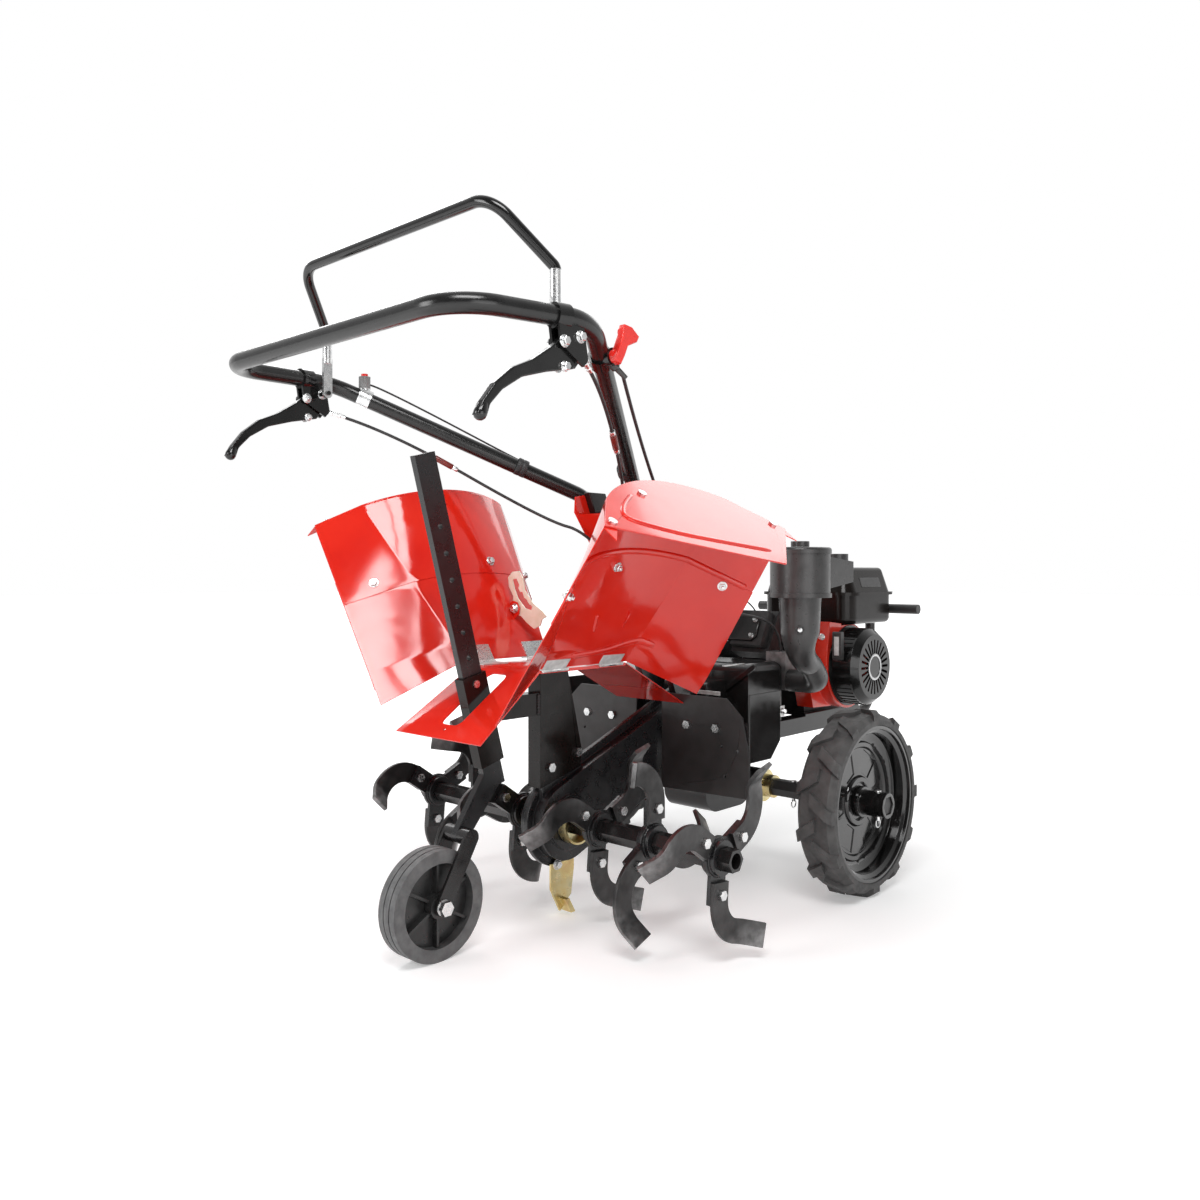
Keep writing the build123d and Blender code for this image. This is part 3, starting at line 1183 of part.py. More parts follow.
def depth_fork():
    inner = DEPTH_WHEEL_WIDTH / 2 + FORK_GAP
    outer = inner + FORK_THICK
    fork = None
    for side in (1, -1):
        leg = hull_x((DEPTH_WHEEL_Y, DEPTH_WHEEL_R), FORK_WIDTH / 2, (FORK_TOP_Y, FORK_TOP_Z), FORK_WIDTH / 2,
                     *sorted((side * inner, side * outer)))
        fork = leg if fork is None else fork + leg
    for side in (1, -1):
        bridge = sorted((side * (BAR_THICK / 2), side * inner))
        fork = fork + rod_x(FORK_WIDTH / 2, *bridge, FORK_TOP_Y, FORK_TOP_Z)
        head = sorted((side * outer, side * (outer + DEPTH_BOLT_HEAD)))
        fork = fork + hex_x(DEPTH_BOLT_FLATS, *head, DEPTH_WHEEL_Y, DEPTH_WHEEL_R)
    return fork + rod_x(DEPTH_AXLE_R, -outer, outer, DEPTH_WHEEL_Y, DEPTH_WHEEL_R)


def depth_wheel():
    half = DEPTH_WHEEL_WIDTH / 2
    wheel = rod_x(DEPTH_WHEEL_R, -half, half, 0, 0) - rod_x(DEPTH_RIM_R, -half, half, 0, 0)
    for x in (DEPTH_GROOVE_X, -DEPTH_GROOVE_X):
        span = (x - DEPTH_GROOVE_WIDTH / 2, x + DEPTH_GROOVE_WIDTH / 2)
        floor = rod_x(DEPTH_WHEEL_R - DEPTH_GROOVE, *span, 0, 0)
        wheel = wheel - (rod_x(DEPTH_WHEEL_R + DEPTH_GROOVE, *span, 0, 0) - floor)
    hub_half = half + FORK_GAP / 2
    wheel = wheel + rod_x(DEPTH_HUB_R, -hub_half, hub_half, 0, 0)
    wheel = wheel + rod_x(DEPTH_RIM_R + CLEAR, -DEPTH_WEB / 2, DEPTH_WEB / 2, 0, 0)
    reach = DEPTH_RIB_WIDTH / 2
    thick = DEPTH_RIB_THICK / 2
    for index in range(DEPTH_RIBS):
        rib = block(-reach, reach, -thick, thick, DEPTH_HUB_R / 2, DEPTH_RIM_R + CLEAR)
        wheel = wheel + Rot(index * 360 / DEPTH_RIBS, 0, 0) * rib
    wheel = wheel - rod_x(DEPTH_AXLE_R + RUN, -hub_half, hub_half, 0, 0)
    return Pos(0, DEPTH_WHEEL_Y, DEPTH_WHEEL_R) * wheel


# Handlebar and controls
def handle_points():
    right = [(ARM_X, ARM_FOOT_Y, ARM_FOOT_Z), (ARM_X, ARM_Y, ARM_Z), (GRIP_X, GRIP_Y, GRIP_Z),
             (HANDLE_REAR_X, HANDLE_REAR_Y, HANDLE_REAR_Z)]
    left = [(-x, y, z) for x, y, z in reversed(right)]
    return right + left


def handle_pipe(outer, inner=0.0):
    bends = [ARM_BEND, GRIP_BEND, HANDLE_REAR_BEND]
    return pipe(handle_points(), bends + bends[::-1], outer, inner)


def handlebar():
    bar = handle_pipe(HANDLE_R, HANDLE_R - HANDLE_WALL)
    for y, z in bracket_bolt_places():
        bar = bar - rod_x(BOLT_HOLE_R, -ARM_X - HANDLE_R, ARM_X + HANDLE_R, y, z)
    return bar


def between(start, end, share):
    return Vector(*start) + (Vector(*end) - Vector(*start)) * share


def clamp_ring(start, end, share):
    """Round clamp on a straight run of the handlebar."""
    middle = between(start, end, share)
    along = (Vector(*end) - Vector(*start)).normalized()
    plane = Plane(middle - along * (CLAMP_LENGTH / 2), z_dir=along)
    return extrude(plane * Circle(HANDLE_R + RUN + CLAMP_RING), CLAMP_LENGTH)


def from_arm(points):
    """Points given from the bend of the handlebar's arm."""
    return [(ARM_Y + y, ARM_Z + z) for y, z in points]


def handle_bracket():
    bracket = plate_x(from_arm(BRACKET_BRIDGE), -COLUMN_OUT_X, COLUMN_OUT_X)
    for side in (1, -1):
        span = sorted((side * COLUMN_OUT_X, side * (COLUMN_OUT_X + BRACKET_THICK)))
        cheek = plate_x(from_arm(BRACKET_OUTLINE), *span)
        for y, z in bracket_bolt_places():
            cheek = cheek - rod_x(BOLT_HOLE_R, -ARM_X, ARM_X, y, z)
        bracket = bracket + cheek
    return bracket


def lever_clamp(handle):
    """Clamp on the right grip with two cheeks, the lever's pin and the bail's pin."""
    corner = handle_points()[2]
    rear = handle_points()[3]
    clamp = clamp_ring(corner, rear, CLAMP_ALONG)
    inner = LEVER_WIDTH / 2 + CLEAR
    outer = inner + CHEEK_THICK
    for side in (1, -1):
        clamp = clamp + plate_x(CHEEK_OUTLINE, *sorted((LEVER_X + side * inner, LEVER_X + side * outer)))
    clamp = clamp - handle
    clamp = clamp + rod_x(LEVER_PIN_R, LEVER_X - inner, LEVER_X + inner, LEVER_Y, LEVER_Z)
    pin_end = BAIL_FOOT_X - BAIL_FOOT_THICK / 2 - PLATE
    return clamp + rod_x(BAIL_PIN_R, pin_end, LEVER_X - inner, BAIL_PIVOT_Y, BAIL_PIVOT_Z)


def throttle_place():
    return between(handle_points()[2], handle_points()[1], THROTTLE_ALONG)


def throttle_clamp(handle):
    middle = throttle_place()
    clamp = clamp_ring(handle_points()[2], handle_points()[1], THROTTLE_ALONG)
    seat = middle.X + THROTTLE_DISC_REACH
    clamp = clamp + rod_x(THROTTLE_DISC_R, middle.X, seat, middle.Y, middle.Z) - handle
    return clamp + rod_x(THROTTLE_PIN_R, seat, seat + THROTTLE_LEVER_THICK + PLATE, middle.Y, middle.Z)


def throttle_lever():
    middle = throttle_place()
    start = THROTTLE_DISC_REACH + CLEAR
    end = start + THROTTLE_LEVER_THICK
    lever = rod_x(THROTTLE_HUB_R, start, end, 0, 0)
    arm = block(start, end, -THROTTLE_LEVER_WIDTH / 2, THROTTLE_LEVER_WIDTH / 2, 0, THROTTLE_LEVER_LENGTH)
    lever = lever + arm + rod_x(THROTTLE_KNOB_R, start, end, 0, THROTTLE_LEVER_LENGTH)
    lever = lever - rod_x(THROTTLE_PIN_R + RUN, start, end, 0, 0)
    return Pos(middle) * Rot(-THROTTLE_LEAN_DEG, 0, 0) * lever


def switch_place():
    return between(handle_points()[5], handle_points()[6], SWITCH_ALONG)


def stop_switch(handle):
    middle = switch_place()
    body = clamp_ring(handle_points()[5], handle_points()[6], SWITCH_ALONG)
    top = middle.Z + HANDLE_R + SWITCH_HEIGHT
    body = body + rod_z(SWITCH_R, middle.Z, top, middle.X, middle.Y) - handle
    return body - rod_z(BUTTON_R + RUN, top - BUTTON_DEPTH, top, middle.X, middle.Y)


def stop_button():
    middle = switch_place()
    top = middle.Z + HANDLE_R + SWITCH_HEIGHT
    return rod_z(BUTTON_R, top - BUTTON_DEPTH + BUTTON_STAND, top + BUTTON_STAND, middle.X, middle.Y)


def lever():
    half = LEVER_WIDTH / 2
    shape = plate_x(LEVER_OUTLINE, LEVER_X - half, LEVER_X + half)
    shape = shape + rod_x(LEVER_EYE_R, LEVER_X - half, LEVER_X + half, LEVER_Y, LEVER_Z)
    return shape - rod_x(LEVER_PIN_R + RUN, LEVER_X - half, LEVER_X + half, LEVER_Y, LEVER_Z)


def bail():
    foot_top = BAIL_PIVOT_Z + 3 * BAIL_FOOT_WIDTH
    right = [(BAIL_FOOT_X, BAIL_PIVOT_Y, foot_top), (BAIL_FOOT_X, BAIL_PIVOT_Y, BAIL_KINK_Z),
             (BAIL_TOP_X, BAIL_TOP_Y, BAIL_TOP_Z)]
    left = [(-x, y, z) for x, y, z in reversed(right)]
    hoop = pipe(right + left, [BAIL_KINK_BEND, BAIL_BEND, BAIL_BEND, BAIL_KINK_BEND], BAIL_R)
    half = BAIL_FOOT_THICK / 2
    wide = BAIL_FOOT_WIDTH / 2
    for side in (1, -1):
        span = sorted((side * (BAIL_FOOT_X - half), side * (BAIL_FOOT_X + half)))
        foot = block(*span, BAIL_PIVOT_Y - wide, BAIL_PIVOT_Y + wide, BAIL_PIVOT_Z,
                     foot_top + BAIL_FOOT_WIDTH / 2)
        foot = foot + rod_x(wide, *span, BAIL_PIVOT_Y, BAIL_PIVOT_Z)
        hoop = hoop + foot - rod_x(BAIL_PIN_R + RUN, *span, BAIL_PIVOT_Y, BAIL_PIVOT_Z)
    return hoop


# Engine
def cylinder_point(along, up):
    """Point (y, z) measured along the cylinder axis from the crank and square to it."""
    tilt = math.radians(CYLINDER_TILT_DEG)
    y = CRANK_Y - along * math.cos(tilt) + up * math.sin(tilt)
    z = CRANK_Z + along * math.sin(tilt) + up * math.cos(tilt)
    return (y, z)


def cylinder_box(start, end, size):
    half = size / 2
    corners = [cylinder_point(start, -half), cylinder_point(start, half), cylinder_point(end, half),
               cylinder_point(end, -half)]
    return plate_x(corners, CYLINDER_X - half, CYLINDER_X + half)


def cylinder_rod(start, end, radius):
    start_y, start_z = cylinder_point(start, 0)
    tilt = math.radians(CYLINDER_TILT_DEG)
    plane = Plane((CYLINDER_X, start_y, start_z), x_dir=(1, 0, 0), z_dir=(0, -math.cos(tilt), math.sin(tilt)))
    return extrude(plane * Circle(radius), end - start)


def engine_block():
    top = ENGINE_BASE_Z + BLOCK_HEIGHT
    body = block(BLOCK_X0, BLOCK_X1, BLOCK_REAR_Y, BLOCK_FRONT_Y, ENGINE_BASE_Z, top)
    body = body + cylinder_rod(0, HEAD_START, CYLINDER_R)
    for index in range(FIN_COUNT):
        start = FIN_START + index * FIN_PITCH
        body = body + cylinder_box(start, start + FIN_THICK, FIN_SIZE)
    for x in (BLOCK_X0 + TANK_LEG_INSET, BLOCK_X1 - TANK_LEG):
        for y in (TANK_REAR_Y + TANK_ROUND, BLOCK_FRONT_Y - TANK_LEG):
            body = body + block(x, x + TANK_LEG, y, y + TANK_LEG, top, TANK_LOW_Z)
    body = body - rod_x(CHAMBER_R, BLOCK_X0 + CHAMBER_WALL, BLOCK_X1 - CHAMBER_WALL, CRANK_Y, CRANK_Z)
    return body - rod_x(CRANK_R + RUN, BLOCK_X0, BLOCK_X1, CRANK_Y, CRANK_Z)


def cylinder_head():
    end = HEAD_START + HEAD_LENGTH
    valve_cover = cylinder_box(end, end + VALVE_COVER_LENGTH, VALVE_COVER_SIZE)
    return cylinder_box(HEAD_START, end, FIN_SIZE) + valve_cover


def crankshaft():
    shaft = rod_x(CRANK_R, SHAFT_END_X, FLYWHEEL_X + FLYWHEEL_WIDTH, CRANK_Y, CRANK_Z)
    for start in (CYLINDER_X - CRANK_WEB_GAP / 2 - CRANK_WEB, CYLINDER_X + CRANK_WEB_GAP / 2):
        shaft = shaft + rod_x(CRANK_WEB_R, start, start + CRANK_WEB, CRANK_Y, CRANK_Z)
    return shaft


def flywheel():
    end = FLYWHEEL_X + FLYWHEEL_WIDTH
    wheel = rod_x(FLYWHEEL_R, FLYWHEEL_X, end, 0, 0) - rod_x(CRANK_R + RUN, FLYWHEEL_X, end, 0, 0)
    low = FLYWHEEL_R - FAN_BLADE_LENGTH
    for index in range(FAN_BLADES):
        blade = block(end, end + FAN_BLADE_HEIGHT, -FAN_BLADE_THICK / 2, FAN_BLADE_THICK / 2, low, FLYWHEEL_R)
        wheel = wheel + Rot(index * 360 / FAN_BLADES, 0, 0) * blade
    return Pos(0, CRANK_Y, CRANK_Z) * wheel


def inset_face(points, inset):
    """Face inside a closed outline, moved inwards when the inset is more than nothing."""
    face = make_face(Polyline(*points, close=True))
    if inset > 0:
        face = offset(face, -inset)
    return face


def housing_solid(inset):
    """Blower housing round the flywheel with its lower shroud; a positive inset gives the hollow."""
    roof = TANK_LOW_Z - CLEAR - inset
    above = Pos(CRANK_Y, roof + HOUSING_R) * Rectangle(4 * HOUSING_R, 2 * HOUSING_R)
    outline = Pos(CRANK_Y, CRANK_Z) * Circle(HOUSING_R - inset) - above + inset_face(HOUSING_EAR, inset)
    body = extrude(Plane.YZ.offset(BLOCK_X1) * outline, HOUSING_X1 - BLOCK_X1 - inset)
    shroud = Plane.YZ.offset(BLOCK_X1) * inset_face(SHROUD_OUTLINE, inset)
    return body + extrude(shroud, SHROUD_DEPTH - inset)


def fan_housing():
    shell = housing_solid(0) - housing_solid(HOUSING_WALL)
    return shell - rod_x(HOUSING_MOUTH_R, HOUSING_X1 - HOUSING_WALL, HOUSING_X1, CRANK_Y, CRANK_Z)


def recoil_cover():
    depth = RECOIL_DEPTH
    dome = depth + RECOIL_DOME
    outline = [(0, RECOIL_FLANGE_R), (RECOIL_FLANGE, RECOIL_FLANGE_R), (RECOIL_FLANGE, RECOIL_R),
               (depth, RECOIL_R),
               (dome, RECOIL_FACE_R), (dome, 0), (dome - RECOIL_WALL, 0),
               (dome - RECOIL_WALL, RECOIL_FACE_R - RECOIL_WALL),
               (depth - RECOIL_WALL, RECOIL_R - RECOIL_WALL), (0, RECOIL_R - RECOIL_WALL)]
    cover = turned(outline, HOUSING_X1, CRANK_Y, CRANK_Z)
    slot_r = RECOIL_BADGE_R + RECOIL_SLOT_LENGTH / 2
    for index in range(RECOIL_SLOTS):
        slot = Pos(HOUSING_X1 + dome, 0, slot_r) * Box(4 * RECOIL_WALL, RECOIL_SLOT_WIDTH, RECOIL_SLOT_LENGTH)
        cover = cover - Pos(0, CRANK_Y, CRANK_Z) * (Rot(index * 360 / RECOIL_SLOTS, 0, 0) * slot)
    return cover - rod_y(ROPE_R + CLEAR, CRANK_Y - RECOIL_FLANGE_R, CRANK_Y, ROPE_X, CRANK_Z + ROPE_Z)


def starter_grip():
    z = CRANK_Z + ROPE_Z
    wide, deep, tall = GRIP_BLOCK
    rear = CRANK_Y - ROPE_LENGTH
    grip = Pos(ROPE_X, rear - deep / 2, z) * Box(wide, deep, tall)
    grip = fillet(grip.edges().filter_by(Axis.X), deep / 3)
    return grip + rod_y(ROPE_R, rear, CRANK_Y, ROPE_X, z)


def tank_half(inset, start, height, draft):
    """Half of the tank's body from its seam, drawn in towards its far face, which has round edges."""
    wide = TANK_X1 - TANK_X0 - 2 * inset
    deep = TANK_FRONT_Y - TANK_REAR_Y - 2 * inset
    place = Pos((TANK_X0 + TANK_X1) / 2, (TANK_REAR_Y + TANK_FRONT_Y) / 2, start)
    body = extrude(place * RectangleRounded(wide, deep, TANK_ROUND - inset), height, taper=draft)
    far = body.faces().sort_by(Axis.Z)[-1 if height > 0 else 0]
    return fillet(far.edges(), TANK_EDGE - inset)


def fuel_tank():
    up = TANK_TOP_Z - TANK_SEAM_Z
    down = TANK_LOW_Z - TANK_SEAM_Z
    upper = tank_half(0, TANK_SEAM_Z, up, TANK_DRAFT_DEG)
    lower = tank_half(0, TANK_SEAM_Z, down, 0)
    lip = (TANK_X0 - TANK_FLANGE, TANK_X1 + TANK_FLANGE, TANK_REAR_Y - TANK_FLANGE,
           TANK_FRONT_Y + TANK_FLANGE)
    for sign in (1, -1):
        rim = block(*lip, *sorted((TANK_SEAM_Z, TANK_SEAM_Z + sign * TANK_FLANGE_THICK)))
        rim = fillet(rim.edges().filter_by(Axis.Z), TANK_ROUND + TANK_FLANGE)
        if sign > 0:
            upper = upper + rim
        else:
            lower = lower + rim
    neck = (TANK_TOP_Z - 2 * TANK_WALL, TANK_TOP_Z + CAP_NECK_HEIGHT, CAP_X, CAP_Y)
    upper = upper + rod_z(CAP_NECK_R, *neck)
    upper = upper - tank_half(TANK_WALL, TANK_SEAM_Z, up - TANK_WALL, TANK_DRAFT_DEG)
    upper = upper - rod_z(CAP_NECK_R - TANK_WALL, *neck)
    lower = lower - tank_half(TANK_WALL, TANK_SEAM_Z, down + TANK_WALL, 0)
    return [lower, upper]


def fuel_cap():
    start = TANK_TOP_Z + CLEAR
    cap = rod_z(CAP_R, start, TANK_TOP_Z + CAP_HEIGHT, CAP_X, CAP_Y)
    return cap - rod_z(CAP_NECK_R + CLEAR, start, TANK_TOP_Z + CAP_NECK_HEIGHT + CLEAR, CAP_X, CAP_Y)


def carb_place():
    return cylinder_point(CARB_AT, -CARB_DOWN)


def carburettor():
    y, z = carb_place()
    start = CYLINDER_X + FIN_SIZE / 2
    return block(start, start + CARB_LENGTH, y - CARB_HALF_Y, y + CARB_HALF_Y, z - CARB_HALF_Z,
                 z + CARB_HALF_Z)


def air_cleaner():
    y, z = carb_place()
    outline = [(0, CLEANER_TOP_Z), (CLEANER_R, CLEANER_TOP_Z), (CLEANER_R, CLEANER_LOW_Z + CLEANER_BAND),
               (CLEANER_BAND_R, CLEANER_LOW_Z + CLEANER_BAND), (CLEANER_BAND_R, CLEANER_LOW_Z),
               (CLEANER_NECK_R, CLEANER_LOW_Z), (CLEANER_FOOT_R, CLEANER_FOOT_Z), (0, CLEANER_FOOT_Z)]
    section = Plane.XZ * make_face(Polyline(*outline, close=True))
    drum = Pos(CLEANER_X, CLEANER_Y, 0) * revolve(section, Axis.Z)
    start = CYLINDER_X + FIN_SIZE / 2 + CARB_LENGTH
    low = z - CARB_HALF_Z / 2
    foot = Vector(CLEANER_X, CLEANER_Y, CLEANER_FOOT_Z)
    corner = Vector(CLEANER_X - ELBOW_IN, y, low)
    turn = foot - Vector(0, 0, ELBOW_DROP)
    run = corner - turn
    halfway = run.normalized() - Vector(0, 0, 1)
    horn = loft([Plane(foot, z_dir=(0, 0, -1)) * Circle(CLEANER_FOOT_R),
                 Plane(turn, z_dir=halfway) * Circle((CLEANER_FOOT_R + ELBOW_R) / 2),
                 Plane(turn + run / 2, z_dir=run) * Circle(ELBOW_R)])
    elbow = horn + pipe([turn + run / 2, corner, (start, y, low)], ELBOW_BEND, ELBOW_R)
    front = CLEANER_Y + CLEANER_R
    snout = [(CLEANER_Y, CLEANER_LOW_Z + CLEANER_BAND), (front + SNOUT_REACH, CLEANER_LOW_Z + SNOUT_HALF),
             (front + SNOUT_REACH, CLEANER_TOP_Z - SNOUT_HALF / 2), (CLEANER_Y, CLEANER_TOP_Z)]
    drum = drum + elbow + plate_x(snout, CLEANER_X - SNOUT_HALF, CLEANER_X + SNOUT_HALF)
    hollow = rod_z(CLEANER_R - CLEANER_WALL, CLEANER_LOW_Z + CLEANER_WALL, CLEANER_TOP_Z, CLEANER_X,
                   CLEANER_Y)
    return drum - hollow


def air_cleaner_cap():
    top = CLEANER_TOP_Z + CLEANER_LID
    lid = rod_z(CLEANER_BAND_R, CLEANER_TOP_Z, top, CLEANER_X, CLEANER_Y)
    lid = fillet(lid.edges().group_by(Axis.Z)[-1], CLEANER_LID / 2)
    return lid + rod_z(CLEANER_KNOB_R, top, top + CLEANER_KNOB, CLEANER_X, CLEANER_Y)


def muffler():
    y, z = cylinder_point(MUFFLER_AT, MUFFLER_UP)
    face_x = CYLINDER_X - FIN_SIZE / 2
    end = face_x - MUFFLER_PIPE
    front = y + MUFFLER_PIPE
    low = z - MUFFLER_PIPE
    can = block(end - MUFFLER_WIDTH, end, front - MUFFLER_DEPTH, front, low, low + MUFFLER_HEIGHT)
    can = fillet(can.edges().filter_by(Axis.X), MUFFLER_ROUND)
    wall = MUFFLER_WALL
    hollow = block(end - MUFFLER_WIDTH + wall, end - wall, front - MUFFLER_DEPTH + wall, front - wall,
                   low + wall, low + MUFFLER_HEIGHT - wall)
    hollow = fillet(hollow.edges().filter_by(Axis.X), MUFFLER_ROUND - wall)
    hollow = hollow + rod_x(MUFFLER_PIPE_R - wall, end - 2 * wall, face_x, y, z)
    return can + rod_x(MUFFLER_PIPE_R, end, face_x, y, z) - hollow


# Bolts and cables
def frame_bolts():
    bolts = []
    rear = RAIL_REAR_Y - GUARD_THICK
    for x in GUARD_BOLT_X:
        shank = rod_y(BOLT_R, rear, RAIL_REAR_Y + ARM_DEPTH, x, GUARD_BOLT_Z)
        bolts += pair(shank + hex_y(BOLT_HEAD_FLATS, rear - BOLT_HEAD_HEIGHT, rear, x, GUARD_BOLT_Z))
    post_x = POST_IN_X + POST_THICK
    for y, z in POST_BOLTS:
        bolts.append(through_bolt_x(-post_x, post_x, y, z))
    arm_x = ARM_X + HANDLE_R
    for y, z in bracket_bolt_places():
        bolts.append(through_bolt_x(-arm_x, arm_x, y, z))
    pin_y, pin_z = sleeve_pin_place()
    near = BAR_THICK / 2 + CLEAR
    far = near + SLEEVE_WALL
    shank_r = BAR_HOLE_R - CLEAR
    head = rod_x(shank_r, near, far, pin_y, pin_z)
    head = head + rod_x(PIN_HEAD_R, far, far + PIN_HEAD_HEIGHT, pin_y, pin_z)
    bolts.append(head)
    end = -far - PIN_STAND
    tail = rod_x(shank_r, end, -near, pin_y, pin_z)
    ring_z = pin_z + CLIP_LOOP_R
    ring = Pos(end + AXLE_PIN_R, pin_y, ring_z) * Rot(0, 90, 0) * Torus(CLIP_LOOP_R, CLIP_WIRE_R)
    bolts.append(tail + ring)
    return bolts


def control_cables():
    throttle = throttle_place()
    switch = switch_place()
    carb_y, carb_z = carb_place()
    carb_x = CYLINDER_X + FIN_SIZE / 2 + CARB_LENGTH / 2
    low = HANDLE_R + 3 * CABLE_R
    inside = COLUMN_IN_X / 2
    cables = []
    for side in (1, -1):
        start = (side * LEVER_X, CHEEK_OUTLINE[-1][0] + CABLE_R, CHEEK_OUTLINE[-1][1])
        points = [start, (side * (LEVER_X - 2 * low), start[1] + 4 * low, start[2] - low),
                  (side * (ARM_X + 2 * low), ARM_Y - 3 * low, ARM_Z - 2 * low),
                  (side * inside, ARM_Y - 2 * low, ARM_Z - 3 * low),
                  (side * inside, COLUMN_FOOT_Y - COLUMN_DEPTH, GEARBOX_TOP_Z + 6 * low),
                  (side * inside, GEARBOX_REAR_Y + low, GEARBOX_TOP_Z + 3 * low),
                  (side * inside, GEARBOX_REAR_Y + low, GEARBOX_TOP_Z)]
        cables.append(cable(points, CABLE_R))
    points = [(throttle.X + low, throttle.Y + low, throttle.Z - low),
              (ARM_X + 3 * low, ARM_Y - low, ARM_Z - low),
              (ARM_X + 2 * low, COLUMN_FOOT_Y, carb_z + 6 * low),
              (carb_x, carb_y - 2 * low, carb_z + 5 * low),
              (carb_x, carb_y, carb_z + 3 * low), (carb_x, carb_y, carb_z + CARB_HALF_Z)]
    cables.append(cable(points, CABLE_R))
    wire_x = BLOCK_X0 + 5 * WIRE_R
    wire_y = BLOCK_REAR_Y + low
    exit_y = switch.Y + SWITCH_R
    exit_z = switch.Z + HANDLE_R + SWITCH_HEIGHT / 2
    points = [(switch.X, exit_y, exit_z), (switch.X, exit_y + low, exit_z),
              (-ARM_X - 2 * low, ARM_Y, ARM_Z + low),
              (0, COLUMN_TOP_Y + COLUMN_DEPTH + low / 2, COLUMN_TOP_Z - low),
              (wire_x, BLOCK_REAR_Y - 3 * low, TANK_SEAM_Z),
              (wire_x, wire_y, TANK_LOW_Z + low), (wire_x, wire_y, ENGINE_BASE_Z + BLOCK_HEIGHT)]
    cables.append(cable(points, WIRE_R))
    return cables


hubs, tines, tine_bolts = tine_sets()
wing_right, wing_left = both_wings([wing()])
plate_right, plate_left = both_wings([end_plate()])
hardware_right, hardware_left = both_wings(wing_hardware())
handle_room = handle_pipe(HANDLE_R + RUN)
pins = [wheel_pin(side * x, seat) for x, seat in pin_places() for side in (1, -1)]

nodes = {
    "engine_frame": [engine_frame()],
    "front_bumper": [front_bumper()],
    "gearbox_housing": [gearbox_housing()],
    "chain_case": [chain_case()],
    "guard_plates": pair(guard_plate()),
    "centre_cover": [centre_cover()],
    "rear_post": [rear_post()],
    "centre_blade": [centre_blade()],
    "handle_bracket": [handle_bracket()],
    "frame_bolts": frame_bolts(),
    "belt_cover": [belt_cover()],
    "drive_belt": [drive_belt()],
    "drive_chain": [drive_chain()],
    "hinge_leaves": [leaf for y in HINGE_Y for leaf in pair(fixed_leaf(y))],
    "handlebar": [handlebar()],
    "control_clamps": pair(lever_clamp(handle_room)) + [throttle_clamp(handle_room)],
    "stop_switch": [stop_switch(handle_room)],
    "control_cables": control_cables(),
    "engine_block": [engine_block()],
    "cylinder_head": [cylinder_head()],
    "fan_housing": [fan_housing()],
    "recoil_cover": [recoil_cover()],
    "fuel_tank": fuel_tank(),
    "carburettor": [carburettor()],
    "air_cleaner": [air_cleaner()],
    "air_cleaner_cap": [air_cleaner_cap()],
    "muffler": [muffler()],
    "crankshaft": [crankshaft()],
    "flywheel": [flywheel()],
    "crank_pulley": [pulley(CRANK_PULLEY_R, CRANK_R, CRANK_Y, CRANK_Z)],
    "input_shaft": [input_shaft()],
    "input_pulley": [pulley(INPUT_PULLEY_R, SHAFT_R, SHAFT_Y, SHAFT_Z)],
    "starter_grip": [starter_grip()],
    "fuel_cap": [fuel_cap()],
    "hex_axle": [hex_axle()],
    "axle_flanges": pair(axle_flange()),
    "rim_right": [rim()],
    "rim_left": [mirrored(rim())],
    "tyre_right": [tyre()],
    "tyre_left": [mirrored(tyre())],
    "wheel_pins": pins,
    "rotor_shaft": [rotor_shaft()],
    "tine_hubs": hubs,
    "tines": tines,
    "tine_bolts": tine_bolts,
    "rotor_collars": pair(rotor_collar()),
    "wing_right": wing_right,
    "wing_left": wing_left,
    "end_plate_right": plate_right,
    "end_plate_left": plate_left,
    "wing_hardware_right": hardware_right,
    "wing_hardware_left": hardware_left,
    "bail": [bail()],
    "lever_right": [lever()],
    "lever_left": [mirrored(lever())],
    "throttle_lever": [throttle_lever()],
    "stop_button": [stop_button()],
    "depth_bar": [depth_bar()],
    "depth_fork": [depth_fork()],
    "depth_wheel": [depth_wheel()],
}

os.makedirs("parts", exist_ok=True)
for name, pieces in nodes.items():
    solids = [solid for piece in pieces for solid in piece.solids()]
    shape = solids[0] if len(solids) == 1 else Compound(children=solids)
    export_step(Pos(-MIDDLE_X, -MIDDLE_Y, 0) * shape, f"parts/{name}.step")
    print(name, len(solids))
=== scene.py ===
import math
import bmesh
import bpy
from mathutils import Matrix, Vector


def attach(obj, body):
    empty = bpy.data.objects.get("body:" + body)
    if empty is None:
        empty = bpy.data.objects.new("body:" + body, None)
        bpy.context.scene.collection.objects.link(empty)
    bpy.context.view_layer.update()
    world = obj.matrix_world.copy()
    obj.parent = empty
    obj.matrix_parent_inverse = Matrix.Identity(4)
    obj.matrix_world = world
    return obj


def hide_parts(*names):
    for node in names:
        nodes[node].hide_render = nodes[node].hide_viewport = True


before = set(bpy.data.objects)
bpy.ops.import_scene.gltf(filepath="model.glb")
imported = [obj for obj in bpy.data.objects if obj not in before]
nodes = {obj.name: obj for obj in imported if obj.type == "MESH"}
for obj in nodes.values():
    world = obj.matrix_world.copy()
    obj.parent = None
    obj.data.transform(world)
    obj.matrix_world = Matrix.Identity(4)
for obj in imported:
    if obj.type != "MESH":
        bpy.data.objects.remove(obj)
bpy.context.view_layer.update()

# Places below are in millimetres from the middle of the wheel axle, as in the part's source
MIDDLE_X = 9.3866
MIDDLE_Y = -266.5
MM = 0.001
TO_RIGHT = (1.0, 0.0, 0.0)
TO_REAR = (0.0, -1.0, 0.0)
TO_TOP = (0.0, 0.0, 1.0)
SIDES = {"right": 1, "left": -1}

